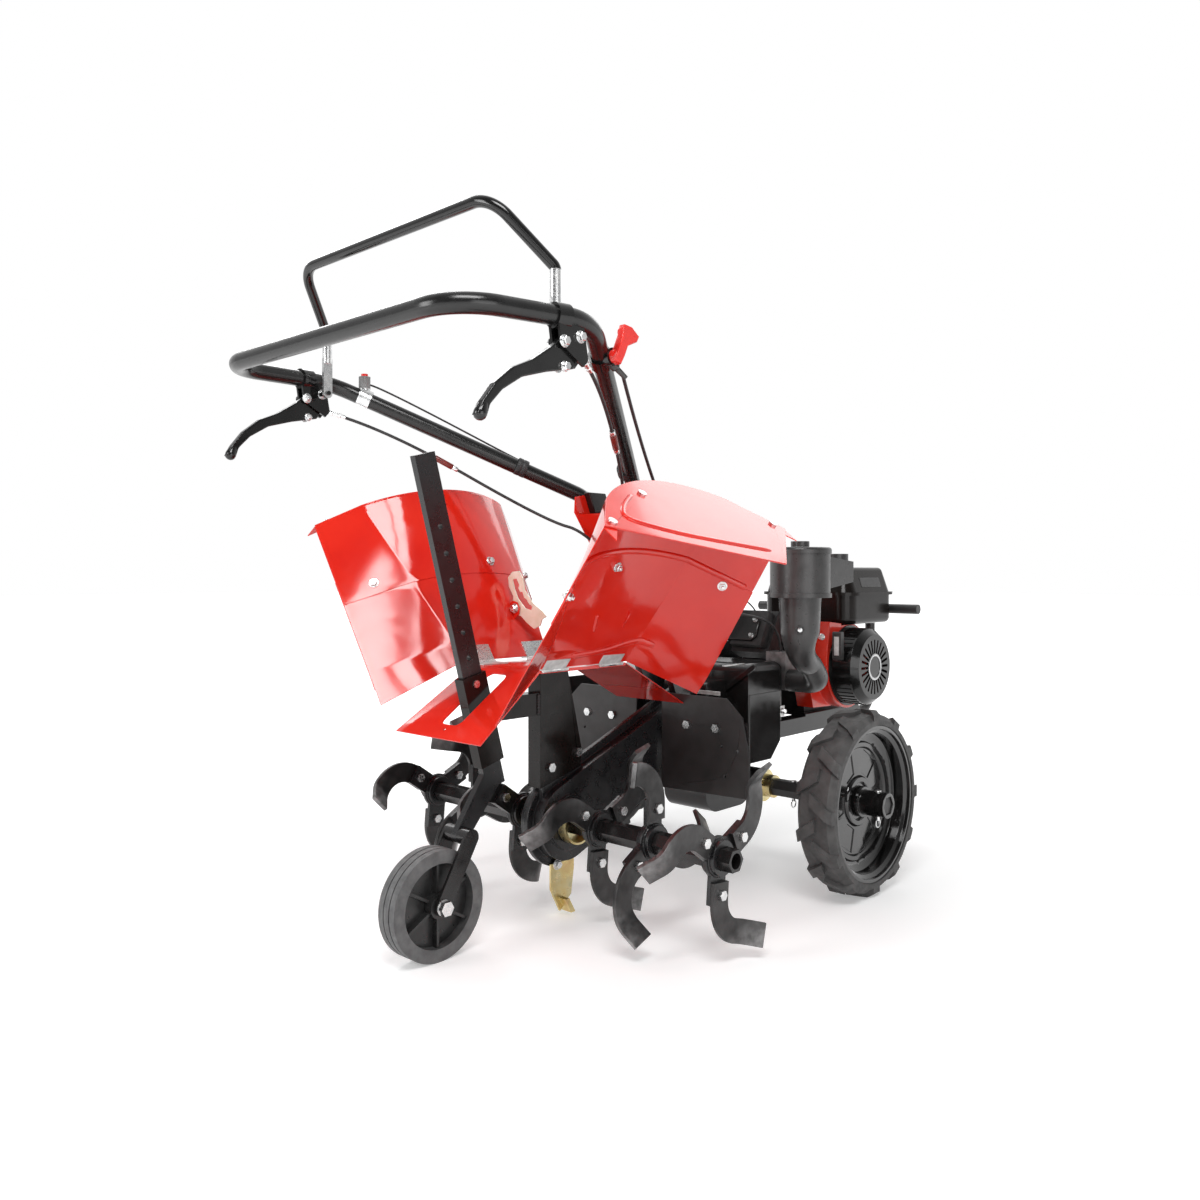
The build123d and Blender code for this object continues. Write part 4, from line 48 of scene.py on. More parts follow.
# Camera of the photograph
CAMERA_AT = (1456.0, -1983.0, 700.0)
CAMERA_TURN = 43.0
CAMERA_LENS = 30.0
CAMERA_SENSOR = 36.0
CAMERA_SHIFT = -28.0 / 1200.0

# Studio in metres: each light has its turn about Z, rise over the floor, distance, size and power
LIGHT_TARGET = (0.0, 0.0, 0.6)
LIGHTS = (("key_light", -50.0, 46.0, 3.0, (1.4, 0.9), 50.0),
          ("back_light", 104.0, 38.0, 3.0, (1.3, 1.0), 8.0),
          ("left_light", 172.0, 42.0, 3.0, (1.2, 1.0), 20.0),
          ("fill_light", -22.0, 9.0, 3.4, (2.2, 1.5), 24.0),
          ("side_light", -104.0, 14.0, 3.2, (0.9, 1.5), 30.0))
WHITE = (1.0, 1.0, 1.0, 1.0)
FLOOR_HALF = 30.0
FLOOR_TONES = ((0.84, 0.84, 0.84), (0.86, 0.86, 0.86))
FLOOR_ROUGHNESS = 0.6
FLOOR_SPECULAR = 0.1
FLOOR_GLOW_REACH = (0.6, 3.0)
FLOOR_GLOW = (0.28, 0.9)
WORLD_DARK_SIDE = (0.60, -0.78, 0.10)
WORLD_TURN = (-0.5, 0.5)
WORLD_TONES = ((1.0, 1.0, 1.0), (0.12, 0.12, 0.12))

# How the finishes wander: noise values at the two colours and the two gloss values
COLOUR_STOPS = (0.32, 0.68)
NOISE_RANGE = (0.3, 0.7)
GLOSS_FINER = 3.0
COAT_ROUGHNESS = 0.06
GRAIN_SCALE = 900.0
GRAIN_DEPTH = 0.0004

# Axes and heights that the finishes follow
ROTOR_Y = -545.0
ROTOR_Z = 195.0
# Radii from the rotor axis over which the tine steel grows into its painted highlight
TINE_HIGHLIGHT_RADII = (0.14, 0.19)
DEPTH_WHEEL_Y = -867.0
DEPTH_WHEEL_Z = 100.0
DEPTH_RIM_R = 76.0
FORK_BOLT_R = 14.2
RADIUS_BLUR = 0.3
BAIL_BARE_Z = 1176.0
SWITCH_STRAP_Z = 1084.0
HEIGHT_BLUR = 1.0

# Control cables: the routes of the part's source
CABLE_D = 6.4
WIRE_D = 4.0
LEVER_CABLE = (
    (368.0, -852.8, 1030.0), (316.8, -750.4, 1004.4), (121.2, -462.8, 810.8), (16.5, -437.2, 785.2),
    (16.5, -213.0, 598.6), (16.5, -104.4, 521.8), (16.5, -104.4, 445.0))
THROTTLE_CABLE = (
    (349.6, -741.4, 1028.1), (146.8, -411.6, 836.4), (121.2, -165.0, 612.8), (104.0, 66.7, 587.2),
    (104.0, 117.9, 536.0), (104.0, 117.9, 505.2))
STOP_WIRE = (
    (-336.2, -773.3, 1094.0), (-336.2, -747.7, 1094.0), (-121.2, -386.0, 887.6), (0.0, -333.2, 846.4),
    (-50.0, 155.2, 644.0), (-50.0, 257.6, 591.6), (-50.0, 257.6, 536.0))
ROUTE_STEPS = 16

# Fittings of the lever cables: radii, places along the cable, and edges as (radius, length)
FITTING_BORE_R = 3.3
BARREL_ALONG = 1.0
BARREL_PROFILE = (
    (FITTING_BORE_R, 0.0), (5.4, 0.0), (6.0, 0.8), (6.0, 7.0), (4.6, 8.0), (4.6, 19.0), (5.6, 20.0),
    (5.6, 25.0), (4.2, 26.0), (4.2, 35.0), (FITTING_BORE_R, 36.0))
ADJUSTER_ALONG = 258.0
ADJUSTER_ENDS = ((-34.0, -21.0), (21.0, 34.0))
ADJUSTER_R = 5.2
ADJUSTER_EDGE = (0.6, 1.0)
SLEEVE_ENDS = (-21.5, 21.5)
SLEEVE_R = 6.2
SLEEVE_EDGE = (1.0, 1.5)

# Fasteners: width over the flats with the washer's radius, and heights over the seat
COMMON_BOLT = (13.0, 10.0)
LARGE_BOLT = (14.0, 11.0)
LEVER_BOLT_SIZE = (12.0, 8.5)
SMALL_BOLT = (11.0, 8.0)
COVER_BOLT = (9.0, 6.5)
HEXAGON = 6
WASHER_THICK = 1.7
WASHER_EDGE = 0.5
FLANGE_OUT = 1.5
FLANGE_HEIGHTS = (2.6, 3.4)
HEAD_HEIGHTS = (3.0, 7.4, 8.4, 8.0)
HEAD_CHAMFER = 0.88
NUT_HEIGHTS = (1.5, 6.4, 7.4)
NUT_CHAMFER = 0.86
THREAD_R = 4.0
LEVER_THREAD_R = 3.2
THREAD_HEIGHTS = (7.0, 10.4, 11.4)
THREAD_EDGE = 1.0
THREAD_STEPS = 16

# Shared forms of the added pieces
TURN_STEPS = 28
SHARP_ANGLE = 35.0
PLATE_EDGE = 0.5
TAPER_START = 0.15
CORNER_CUT = 0.25

# Soft edges on the machined and folded nodes
SOFT_EDGES = {
    "control_clamps": 1.4, "throttle_lever": 2.2, "starter_grip": 2.5, "rear_post": 0.8, "depth_bar": 1.8,
    "depth_fork": 1.6, "guard_plates": 0.8, "engine_frame": 1.6, "gearbox_housing": 2.0, "chain_case": 1.6,
    "tines": 0.9, "tine_hubs": 1.0, "centre_cover": 0.6, "recoil_cover": 1.0, "fan_housing": 2.5,
    "air_cleaner": 2.0, "belt_cover": 2.5, "handle_bracket": 0.9, "rim_right": 0.9, "rim_left": 0.9,
    "tyre_right": 1.6, "tyre_left": 1.6, "frame_bolts": 0.8, "tine_bolts": 0.8, "stop_switch": 1.2,
    "fuel_cap": 2.5, "engine_block": 2.0, "hinge_leaves": 0.5, "wing_hardware_right": 0.6,
    "wing_hardware_left": 0.6, "end_plate_right": 0.6, "end_plate_left": 0.6, "wing_right": 0.5,
    "wing_left": 0.5, "hex_axle": 1.2, "rotor_shaft": 1.2, "centre_blade": 0.6,
}
MERGE_DISTANCE = 0.01
EDGE_SEGMENTS = 2
EDGE_ANGLE = 40.0
ROUND_CASTINGS = ("lever_right", "lever_left")
CASTING_VOXEL = 1.3
CASTING_SMOOTH = 0.5
CASTING_ROUNDS = 14

# Wings: distance out from the hinge line, place along Y, height over the hinge line
HINGE_X = 105.0
HINGE_Z = 516.0
FOLDS = {"right": 52.0, "left": 57.0}
SHEET_SEARCH = 300.0
HINGE_BACKS = (-669.0, -515.0)
HINGE_BACK_S = 17.0
HINGE_BACK_HALF = (31.0, 12.0)
WING_SHEET_BOLTS = {"right": ((226.0, -807.0), (226.0, -616.0), (240.0, -386.0)),
                    "left": ((226.0, -807.0), (228.0, -554.0), (240.0, -386.0))}

# Pressed lines of the wings: their sections in width and height, and the places over which they run out
WING_BEAD = ((34.0, -640.0), (40.0, -560.0), (58.0, -493.0), (66.0, -438.0))
BEAD_SECTION = (15.0, 4.0)
BEAD_TAPER = 4
WING_MARK = ((125.0, -617.0), (88.0, -607.0))
MARK_SECTION = (8.0, 2.6)
MARK_TAPER = 3
WING_LAP_S = 257.0
WING_LAP_REAR_Y = -842.0
WING_LAP_FRONT_Y = -352.0
LAP_STEPS = 12
LAP_SECTION = (13.0, 5.0)
LAP_TAPER = 3
END_PLATE_S = 397.0
END_PLATE_LINE = (
    (-720.0, 0.0), (-768.0, -32.0), (-793.0, -58.0), (-791.0, -73.0), (-752.0, -89.0), (-688.0, -108.0),
    (-622.0, -121.0), (-473.0, -148.0))
END_PLATE_SECTION = (9.0, 3.4)
END_PLATE_TAPER = 4

# Stays of the wings with their ears
STAY_PIVOT = (113.0, 20.0)
STAY_EAR_Y = -529.5
STAY_Y = -525.5
STAY_THICK = 3.0
STAY_EAR = ((94.0, 2.0), (132.0, 4.0), (130.0, 24.0), (120.0, 33.0), (106.0, 33.0), (96.0, 24.0))
STAY_OUTLINE = (
    (183.0, 35.0), (186.0, 52.0), (176.0, 71.0), (157.0, 74.0), (132.0, 64.0), (95.0, 70.0), (66.0, 85.0),
    (49.0, 90.0), (51.0, 76.0), (43.0, 64.0), (47.0, 44.0), (67.0, 33.0), (91.0, 24.0), (102.0, 12.0),
    (122.0, 12.0), (139.0, 26.0), (164.0, 26.0))
STAY_SLOT = (
    (172.0, 44.0), (166.0, 56.0), (150.0, 56.0), (146.0, 50.0), (136.0, 50.0), (132.0, 56.0), (118.0, 54.0),
    (112.0, 58.0), (98.0, 60.0), (90.0, 66.0), (84.0, 58.0), (98.0, 44.0), (128.0, 36.0), (152.0, 38.0))

# Controls on the handlebar; the clip's profile is its depth under the outer face, and its height
LEVER_X = 368.0
CHEEK_OUT = 12.3
LEVER_OUT = 7.0
CHEEK_BOLTS = ((-909.0, 1051.0), (-874.0, 1063.0))
LEVER_BOLT = (-903.0, 1014.0)
LEVER_TIP = (-1064.0, 926.0)
LEVER_TIP_AXIS = (0.0, -0.41, -0.91)
LEVER_TIP_PROFILE = (
    (0.0, -20.0), (6.0, -20.0), (8.0, -11.0), (9.6, -4.0), (10.2, 1.0), (9.4, 6.0), (7.0, 9.6), (3.6, 11.4),
    (0.0, 12.0))
LEVER_TIP_STEPS = 32
HANDLE_R = 16.0
GRIP = (376.0, -845.0, 1093.0)
ARM_TOP = (60.5, -386.0, 862.0)
ARM_CLIPS = {"right": 0.183, "left": 0.277}
CLIP_GAP = 0.1
CLIP_THICK = 3.0
CLIP_HALF = 12.0
CLIP_PROFILE = (
    (1.0, -CLIP_HALF), (0.0, -10.5), (0.0, -2.0), (0.8, 0.0), (0.0, 2.0), (0.0, 10.5), (1.0, CLIP_HALF))
CLIP_STEPS = 40
THROTTLE_BOOT = (342.0, -762.0, 1046.0)
BOOT_SHOULDERS = ((8.0, 0.0), (8.0, 0.45), (5.0, 0.55), (4.8, 0.8))
BOOT_END_R = 4.2
BOOT_PAST = 8.0
THROTTLE_KNOB = (362.2, -766.97, 1053.73)
THROTTLE_LEAN = 25.0
KNOB_THICK = 14.0
KNOB_EDGE = 2.0
KNOB_OUTLINE = (
    (-8.0, -13.0), (7.0, -13.0), (9.0, 4.0), (9.0, 24.0), (25.0, 42.0), (26.0, 54.0), (4.0, 58.0),
    (-13.0, 52.0), (-13.0, 42.0), (-9.0, 30.0))

# Engine
CRANK_Y = 320.0
CRANK_Z = 462.0
RECOIL_FACE_X = 250.0
RECOIL_R = 95.0
RECOIL_RIBS = 44
RECOIL_RIB_X = (186.0, 228.0)
RECOIL_RIB_SECTION = ((1.6, -1.0), (1.2, 1.8), (-1.2, 1.8), (-1.6, -1.0))
RECOIL_RING = ((27.0, -0.5), (27.0, 1.2), (28.0, 1.8), (32.0, 1.8), (33.0, 1.2), (33.0, -0.5))
RECOIL_RING_STEPS = 64
GRIP_FACE = (206.0, 209.0, 518.0)
GRIP_INSERT_HALF = (6.5, 23.0)
GRIP_INSERT_THICK = 2.0
GRIP_INSERT_EDGE = 0.6
CLEANER_SCREW = (255.2, -37.9, 570.0)
CLEANER_SCREW_AXIS = (0.517, -0.855, -0.042)
CLEANER_RING_PROFILE = ((7.6, -3.0), (7.6, 1.0), (8.4, 1.8), (9.6, 1.8), (10.4, 1.0), (10.4, -3.0))
CLEANER_RING_STEPS = 36
CLEANER_SCREW_PROFILE = ((0.0, -3.0), (6.4, -3.0), (6.4, 0.2), (5.0, 1.9), (2.4, 2.4), (0.0, 2.4))
CLEANER_SCREW_STEPS = 24
TANK_PLATE = (188.6, 412.0, 673.0)
TANK_PLATE_AXIS = (0.951, 0.0, 0.309)
TANK_PLATE_HALF = (52.0, 13.0)
TANK_PLATE_THICK = 2.0
TANK_PLATE_EDGE = 0.8
HEAD_FACE = (0.0, 104.0, 558.0)
HEAD_AXIS = (0.0, -0.906, 0.423)
VALVE_COVER = (50.0, 33.0)
VALVE_COVER_CORNER = 12.0
VALVE_COVER_THICK = 14.0
VALVE_COVER_EDGE = 3.0

# Gearbox, wheels and rotor
BLADE_BOLT = (11.0, -561.0, 108.0)
STRAP_THICK = 2.0
STRAPS = (("rear_strap", (49.5, -131.0, 422.5), TO_REAR, (53.5, 4.5)),
          ("top_strap", (117.5, -99.0, 487.0), TO_TOP, (4.5, 38.0)),
          ("side_strap", (125.0, 67.0, 363.0), TO_RIGHT, (35.0, 13.0)))
BAY_BOLTS = (((126.0, 42.0, 363.0), TO_RIGHT), ((126.0, 92.0, 363.0), TO_RIGHT),
             ((180.0, 184.7, 540.4), TO_REAR))
GEAR_LEVER_Y = -53.0
GEAR_LEVER_THICK = 6.0
GEAR_LEVER_EDGE = 1.0
GEAR_LEVER = ((45.5, 405.1), (141.5, 473.1), (148.0, 482.0), (144.0, 487.0), (134.5, 482.9), (38.5, 414.9))
WHEEL_Z = 200.0
RIM_WEB_X = 377.0
RIM_RINGS = ((38.0, 56.0, 6.0), (114.0, 131.0, 5.0))
RIM_RING_SUNK = 1.0
RIM_RING_SLOPE = 0.25
RIM_RING_SHOULDER = (0.4, 0.6)
RIM_RING_STEPS = 96
TINE_HUB_X = (110.0, 250.0, 400.0)
HUB_BOSS_R = 32.0
HUB_PLATE_HALF = 4.0
HUB_WELD_R = 3.4
HUB_WELD_STEPS = 120
POST_WELD = ((16.5, -618.0, 418.0), (16.5, -618.0, 458.0))
POST_WELD_R = 4.0
POST_WELD_STEPS = 28
WELD_SIDES = 10
WELD_RIPPLE_STEPS = 4
WELD_RIPPLE = 0.18


def at(x, y, z):
    """Point of the row frame in metres."""
    return Vector(((x - MIDDLE_X) * MM, (y - MIDDLE_Y) * MM, z * MM))


# Material helpers
def new_material(name):
    material = bpy.data.materials.new(name)
    material.use_nodes = True
    tree = material.node_tree
    return material, tree, tree.nodes["Principled BSDF"]


def coordinates(tree):
    return tree.nodes.new("ShaderNodeTexCoord").outputs["Object"]


def noise(tree, scale, detail=4.0):
    """Noise in the object's own space."""
    node = tree.nodes.new("ShaderNodeTexNoise")
    node.inputs["Scale"].default_value = scale
    node.inputs["Detail"].default_value = detail
    tree.links.new(coordinates(tree), node.inputs["Vector"])
    return node.outputs["Fac"]


def ramp(tree, source, stops):
    """Colours along a value; stops are (place, colour)."""
    node = tree.nodes.new("ShaderNodeValToRGB")
    while len(node.color_ramp.elements) < len(stops):
        node.color_ramp.elements.new(1.0)
    for element, (place, colour) in zip(node.color_ramp.elements, stops):
        element.position = place
        element.color = (*colour, 1.0)
    tree.links.new(source, node.inputs["Fac"])
    return node.outputs["Color"]


def remap(tree, source, from_low, from_high, to_low, to_high):
    node = tree.nodes.new("ShaderNodeMapRange")
    limits = {"From Min": from_low, "From Max": from_high, "To Min": to_low, "To Max": to_high}
    for name, value in limits.items():
        node.inputs[name].default_value = value
    tree.links.new(source, node.inputs["Value"])
    return node.outputs["Result"]


def blend(tree, kind, factor, first, second):
    """Blend of two outputs; the kind is RGBA for colours and FLOAT for values."""
    node = tree.nodes.new("ShaderNodeMix")
    node.data_type = kind
    tree.links.new(factor, node.inputs["Factor"])
    tree.links.new(first, node.inputs["A"])
    tree.links.new(second, node.inputs["B"])
    return node.outputs["Result"]


def vector_step(tree, operation, source, operand=None):
    """Node of one vector calculation, with a fixed operand where it takes one."""
    node = tree.nodes.new("ShaderNodeVectorMath")
    node.operation = operation
    tree.links.new(source, node.inputs[0])
    if operand is not None:
        node.inputs[1].default_value = operand
    return node


def value_step(tree, operation, first, second):
    """Result of one calculation with two values."""
    node = tree.nodes.new("ShaderNodeMath")
    node.operation = operation
    tree.links.new(first, node.inputs[0])
    tree.links.new(second, node.inputs[1])
    return node.outputs["Value"]


def radius_about(tree, y, z):
    """Distance in metres from a line along X through (y, z)."""
    shift = vector_step(tree, "SUBTRACT", coordinates(tree), at(0.0, y, z))
    flat = vector_step(tree, "MULTIPLY", shift.outputs["Vector"], (0.0, 1.0, 1.0))
    return vector_step(tree, "LENGTH", flat.outputs["Vector"]).outputs["Value"]


def inside_radius(y, z, radius):
    """Mask that is one within a radius in millimetres of a line along X through (y, z)."""
    edges = ((radius - RADIUS_BLUR) * MM, (radius + RADIUS_BLUR) * MM)
    return lambda tree: remap(tree, radius_about(tree, y, z), *edges, 1.0, 0.0)


def height_of(tree):
    parts = tree.nodes.new("ShaderNodeSeparateXYZ")
    tree.links.new(coordinates(tree), parts.inputs["Vector"])
    return parts.outputs["Z"]


def below_height(height):
    """Mask that is one below a height in millimetres."""
    edges = ((height - HEIGHT_BLUR) * MM, (height + HEIGHT_BLUR) * MM)
    return lambda tree: remap(tree, height_of(tree), *edges, 1.0, 0.0)


def mottle(tree, scale, dark, light, stops=COLOUR_STOPS, detail=4.0):
    """Colour that wanders between two tones."""
    return ramp(tree, noise(tree, scale, detail), tuple(zip(stops, (dark, light))))


def gloss(tree, scale, rough, detail=6.0):
    """Roughness that wanders between two values."""
    return remap(tree, noise(tree, scale, detail), *NOISE_RANGE, *rough)


def set_surface(tree, shader, colour, roughness):
    tree.links.new(colour, shader.inputs["Base Color"])
    tree.links.new(roughness, shader.inputs["Roughness"])


def add_grain(tree, shader, scale, strength, depth=GRAIN_DEPTH, detail=3.0):
    """Fine relief in the surface."""
    node = tree.nodes.new("ShaderNodeBump")
    node.inputs["Strength"].default_value = strength
    node.inputs["Distance"].default_value = depth
    tree.links.new(noise(tree, scale, detail), node.inputs["Height"])
    tree.links.new(node.outputs["Normal"], shader.inputs["Normal"])


# Kinds of finish
def plain(name, dark, light, patch, rough, grain, grain_scale=GRAIN_SCALE, metallic=0.0, coat=0.0,
          specular=0.5):
    """Finish whose colour and gloss wander a little over patches, with a fine grain in the surface."""
    material, tree, shader = new_material(name)
    set_surface(tree, shader, mottle(tree, patch, dark, light), gloss(tree, GLOSS_FINER * patch, rough))
    shader.inputs["Metallic"].default_value = metallic
    shader.inputs["Coat Weight"].default_value = coat
    shader.inputs["Coat Roughness"].default_value = COAT_ROUGHNESS
    shader.inputs["Specular IOR Level"].default_value = specular
    add_grain(tree, shader, grain_scale, grain)
    return material


def two_tone(name, mask, first, second):
    """Finish with a second one where the mask is one; each is (dark, light, patch, rough, metallic)."""
    material, tree, shader = new_material(name)
    here = mask(tree)
    colours = []
    glosses = []
    metals = []
    for dark, light, patch, rough, metallic in (first, second):
        colours.append(mottle(tree, patch, dark, light))
        glosses.append(gloss(tree, GLOSS_FINER * patch, rough))
        metals.append(metallic)
    set_surface(tree, shader, blend(tree, "RGBA", here, *colours), blend(tree, "FLOAT", here, *glosses))
    tree.links.new(remap(tree, here, 0.0, 1.0, *metals), shader.inputs["Metallic"])
    add_grain(tree, shader, scale=800.0, strength=0.1)
    return material


def tip_highlight_steel(name):
    """Dark tine steel with a painted highlight: the steel grows lighter towards the tips, where the tines
    catch the light.
    """
    material, tree, shader = new_material(name)
    dark = mottle(tree, 28.0, (0.042, 0.041, 0.041), (0.078, 0.076, 0.076), stops=(0.3, 0.7))
    bright = mottle(tree, 60.0, (0.14, 0.138, 0.138), (0.34, 0.335, 0.335), stops=(0.35, 0.7), detail=6.0)
    # Painted highlight: lighter steel towards the tine tips
    painted_highlight = remap(tree, radius_about(tree, ROTOR_Y, ROTOR_Z), *TINE_HIGHLIGHT_RADII, 0.0, 1.0)
    set_surface(tree, shader, blend(tree, "RGBA", painted_highlight, dark, bright), gloss(tree, 90.0, (0.28, 0.45)))
    shader.inputs["Metallic"].default_value = 0.85
    add_grain(tree, shader, scale=420.0, strength=0.12, depth=0.0005, detail=4.0)
    return material


def yellow_zinc(name):
    """Passivated zinc: gold that drifts towards green and rose."""
    material, tree, shader = new_material(name)
    tones = ((0.25, (0.62, 0.40, 0.20)), (0.45, (0.72, 0.58, 0.27)), (0.6, (0.70, 0.62, 0.36)),
             (0.8, (0.52, 0.50, 0.33)))
    colour = ramp(tree, noise(tree, 26.0, detail=5.0), tones)
    set_surface(tree, shader, colour, gloss(tree, 70.0, (0.22, 0.42)))
    shader.inputs["Metallic"].default_value = 1.0
    add_grain(tree, shader, scale=500.0, strength=0.08)
    return material


def speckled(name):
    """Gloss black paint over rough steel, with fine bright specks."""
    material, tree, shader = new_material(name)
    tones = ((0.0, (0.010, 0.010, 0.011)), (0.70, (0.014, 0.014, 0.015)), (0.78, (0.10, 0.10, 0.10)))
    specks = ramp(tree, noise(tree, 520.0, detail=2.0), tones)
    set_surface(tree, shader, specks, gloss(tree, 45.0, (0.22, 0.38), detail=5.0))
    add_grain(tree, shader, scale=260.0, strength=0.25, depth=0.0006, detail=5.0)
    return material


# Finishes: the dark and the light tone, the patches' scale and the range of roughness
red_paint = plain("red_paint", (0.70, 0.016, 0.008), (0.78, 0.026, 0.012), 9.0, (0.08, 0.15),
                  grain=0.02, grain_scale=260.0, coat=0.3)
housing_red = plain("housing_red", (0.74, 0.026, 0.012), (0.82, 0.038, 0.016), 14.0, (0.14, 0.22),
                    grain=0.03, coat=0.3)
red_plastic = plain("red_plastic", (0.70, 0.020, 0.014), (0.78, 0.030, 0.020), 40.0, (0.26, 0.36),
                    grain=0.05, coat=0.2)
sleeve_red = plain("sleeve_red", (0.14, 0.016, 0.012), (0.22, 0.028, 0.020), 90.0, (0.30, 0.45), grain=0.08)
black_paint = plain("black_paint", (0.009, 0.008, 0.008), (0.015, 0.014, 0.014), 16.0, (0.14, 0.26),
                    grain=0.05)
deep_paint = plain("deep_black_paint", (0.008, 0.006, 0.005), (0.013, 0.010, 0.009), 18.0, (0.14, 0.22),
                   grain=0.03, specular=0.22)
satin_black = plain("satin_black", (0.026, 0.025, 0.025), (0.040, 0.039, 0.039), 24.0, (0.34, 0.48),
                    grain=0.15)
gloss_black = plain("gloss_black", (0.005, 0.005, 0.005), (0.009, 0.009, 0.009), 30.0, (0.10, 0.18),
                    grain=0.03)
bar_black = plain("bar_black", (0.006, 0.006, 0.006), (0.010, 0.010, 0.010), 30.0, (0.20, 0.28), grain=0.04)
rim_black = plain("rim_black", (0.006, 0.006, 0.006), (0.010, 0.009, 0.009), 30.0, (0.08, 0.15),
                  grain=0.03, coat=0.5)
moulded = plain("moulded_black", (0.030, 0.029, 0.029), (0.046, 0.045, 0.045), 30.0, (0.26, 0.38), grain=0.08)
rubber = plain("rubber", (0.016, 0.016, 0.017), (0.028, 0.028, 0.029), 60.0, (0.45, 0.62), grain=0.20)
tyre_rubber = plain("tyre_rubber", (0.045, 0.044, 0.044), (0.080, 0.078, 0.077), 34.0, (0.52, 0.74),
                    grain=0.5, grain_scale=700.0)
zinc = plain("zinc", (0.62, 0.63, 0.64), (0.82, 0.82, 0.81), 120.0, (0.20, 0.36), grain=0.05, metallic=1.0)
pale_zinc = plain("pale_zinc", (0.80, 0.74, 0.58), (0.90, 0.86, 0.74), 40.0, (0.28, 0.42),
                  grain=0.05, metallic=0.25)
galvanised = plain("galvanised", (0.56, 0.56, 0.55), (0.80, 0.80, 0.79), 70.0, (0.30, 0.48),
                   grain=0.10, metallic=0.45)
bright_steel = plain("bright_steel", (0.48, 0.48, 0.49), (0.62, 0.62, 0.62), 80.0, (0.24, 0.36),
                     grain=0.06, metallic=1.0)
dark_metal = plain("dark_metal", (0.030, 0.030, 0.032), (0.060, 0.060, 0.062), 50.0, (0.35, 0.50),
                   grain=0.2, metallic=0.6)
cast_metal = plain("cast_metal", (0.20, 0.20, 0.20), (0.34, 0.34, 0.34), 60.0, (0.40, 0.60),
                   grain=0.35, grain_scale=500.0, metallic=0.9)
dark_cast = plain("dark_cast", (0.020, 0.020, 0.020), (0.040, 0.039, 0.039), 60.0, (0.38, 0.55),
                  grain=0.35, grain_scale=500.0, metallic=0.3)
rough_paint = speckled("rough_black_paint")
tine_steel = tip_highlight_steel("tine_steel")
gold_zinc = yellow_zinc("yellow_zinc")

# Tones of the nodes that have two finishes
tread_tone = ((0.090, 0.090, 0.091), (0.145, 0.145, 0.146), 55.0, (0.50, 0.70), 0.0)
spoke_tone = ((0.014, 0.014, 0.014), (0.026, 0.026, 0.026), 40.0, (0.26, 0.38), 0.0)
zinc_tone = ((0.62, 0.63, 0.64), (0.84, 0.84, 0.83), 120.0, (0.20, 0.36), 1.0)
gloss_tone = ((0.005, 0.005, 0.005), (0.009, 0.009, 0.009), 30.0, (0.10, 0.18), 0.0)
paint_tone = ((0.009, 0.008, 0.008), (0.015, 0.014, 0.014), 16.0, (0.16, 0.28), 0.0)
grey_tone = ((0.17, 0.17, 0.17), (0.23, 0.23, 0.23), 50.0, (0.45, 0.60), 0.0)
spoke_mask = inside_radius(DEPTH_WHEEL_Y, DEPTH_WHEEL_Z, DEPTH_RIM_R)
fork_bolt_mask = inside_radius(DEPTH_WHEEL_Y, DEPTH_WHEEL_Z, FORK_BOLT_R)
wheel_finish = two_tone("depth_wheel", spoke_mask, tread_tone, spoke_tone)
fork_finish = two_tone("depth_fork", fork_bolt_mask, paint_tone, zinc_tone)
bail_finish = two_tone("bail", below_height(BAIL_BARE_Z), gloss_tone, zinc_tone)
switch_finish = two_tone("stop_switch", below_height(SWITCH_STRAP_Z), grey_tone, zinc_tone)

FINISHES = {
    "engine_frame": black_paint, "front_bumper": satin_black, "gearbox_housing": black_paint,
    "chain_case": rough_paint, "guard_plates": satin_black, "centre_cover": red_paint,
    "rear_post": deep_paint, "centre_blade": gold_zinc, "handle_bracket": red_paint, "frame_bolts": zinc,
    "belt_cover": black_paint,
    "drive_belt": rubber, "drive_chain": bright_steel, "hinge_leaves": galvanised, "handlebar": bar_black,
    "control_clamps": gloss_black, "stop_switch": switch_finish, "control_cables": rubber,
    "engine_block": dark_cast, "cylinder_head": dark_cast, "fan_housing": housing_red,
    "recoil_cover": gloss_black, "fuel_tank": deep_paint, "carburettor": cast_metal, "air_cleaner": moulded,
    "air_cleaner_cap": moulded, "muffler": dark_metal, "crankshaft": bright_steel, "flywheel": cast_metal,
    "crank_pulley": bright_steel, "input_shaft": bright_steel, "input_pulley": bright_steel,
    "starter_grip": moulded, "fuel_cap": moulded, "hex_axle": satin_black, "axle_flanges": gold_zinc,
    "rim_right": rim_black, "rim_left": rim_black, "tyre_right": tyre_rubber, "tyre_left": tyre_rubber,
    "wheel_pins": zinc, "rotor_shaft": black_paint, "tine_hubs": rough_paint, "tines": tine_steel,
    "tine_bolts": zinc, "rotor_collars": gold_zinc, "wing_right": red_paint, "wing_left": red_paint,
    "end_plate_right": red_paint, "end_plate_left": red_paint, "wing_hardware_right": zinc,
    "wing_hardware_left": zinc, "bail": bail_finish, "lever_right": gloss_black, "lever_left": gloss_black,
    "throttle_lever": red_plastic, "stop_button": red_plastic, "depth_bar": rough_paint,
    "depth_fork": fork_finish, "depth_wheel": wheel_finish,
}


# Nodes of the frame
def dress_nodes():
    for name, finish in FINISHES.items():
        nodes[name].data.materials.clear()
        nodes[name].data.materials.append(finish)


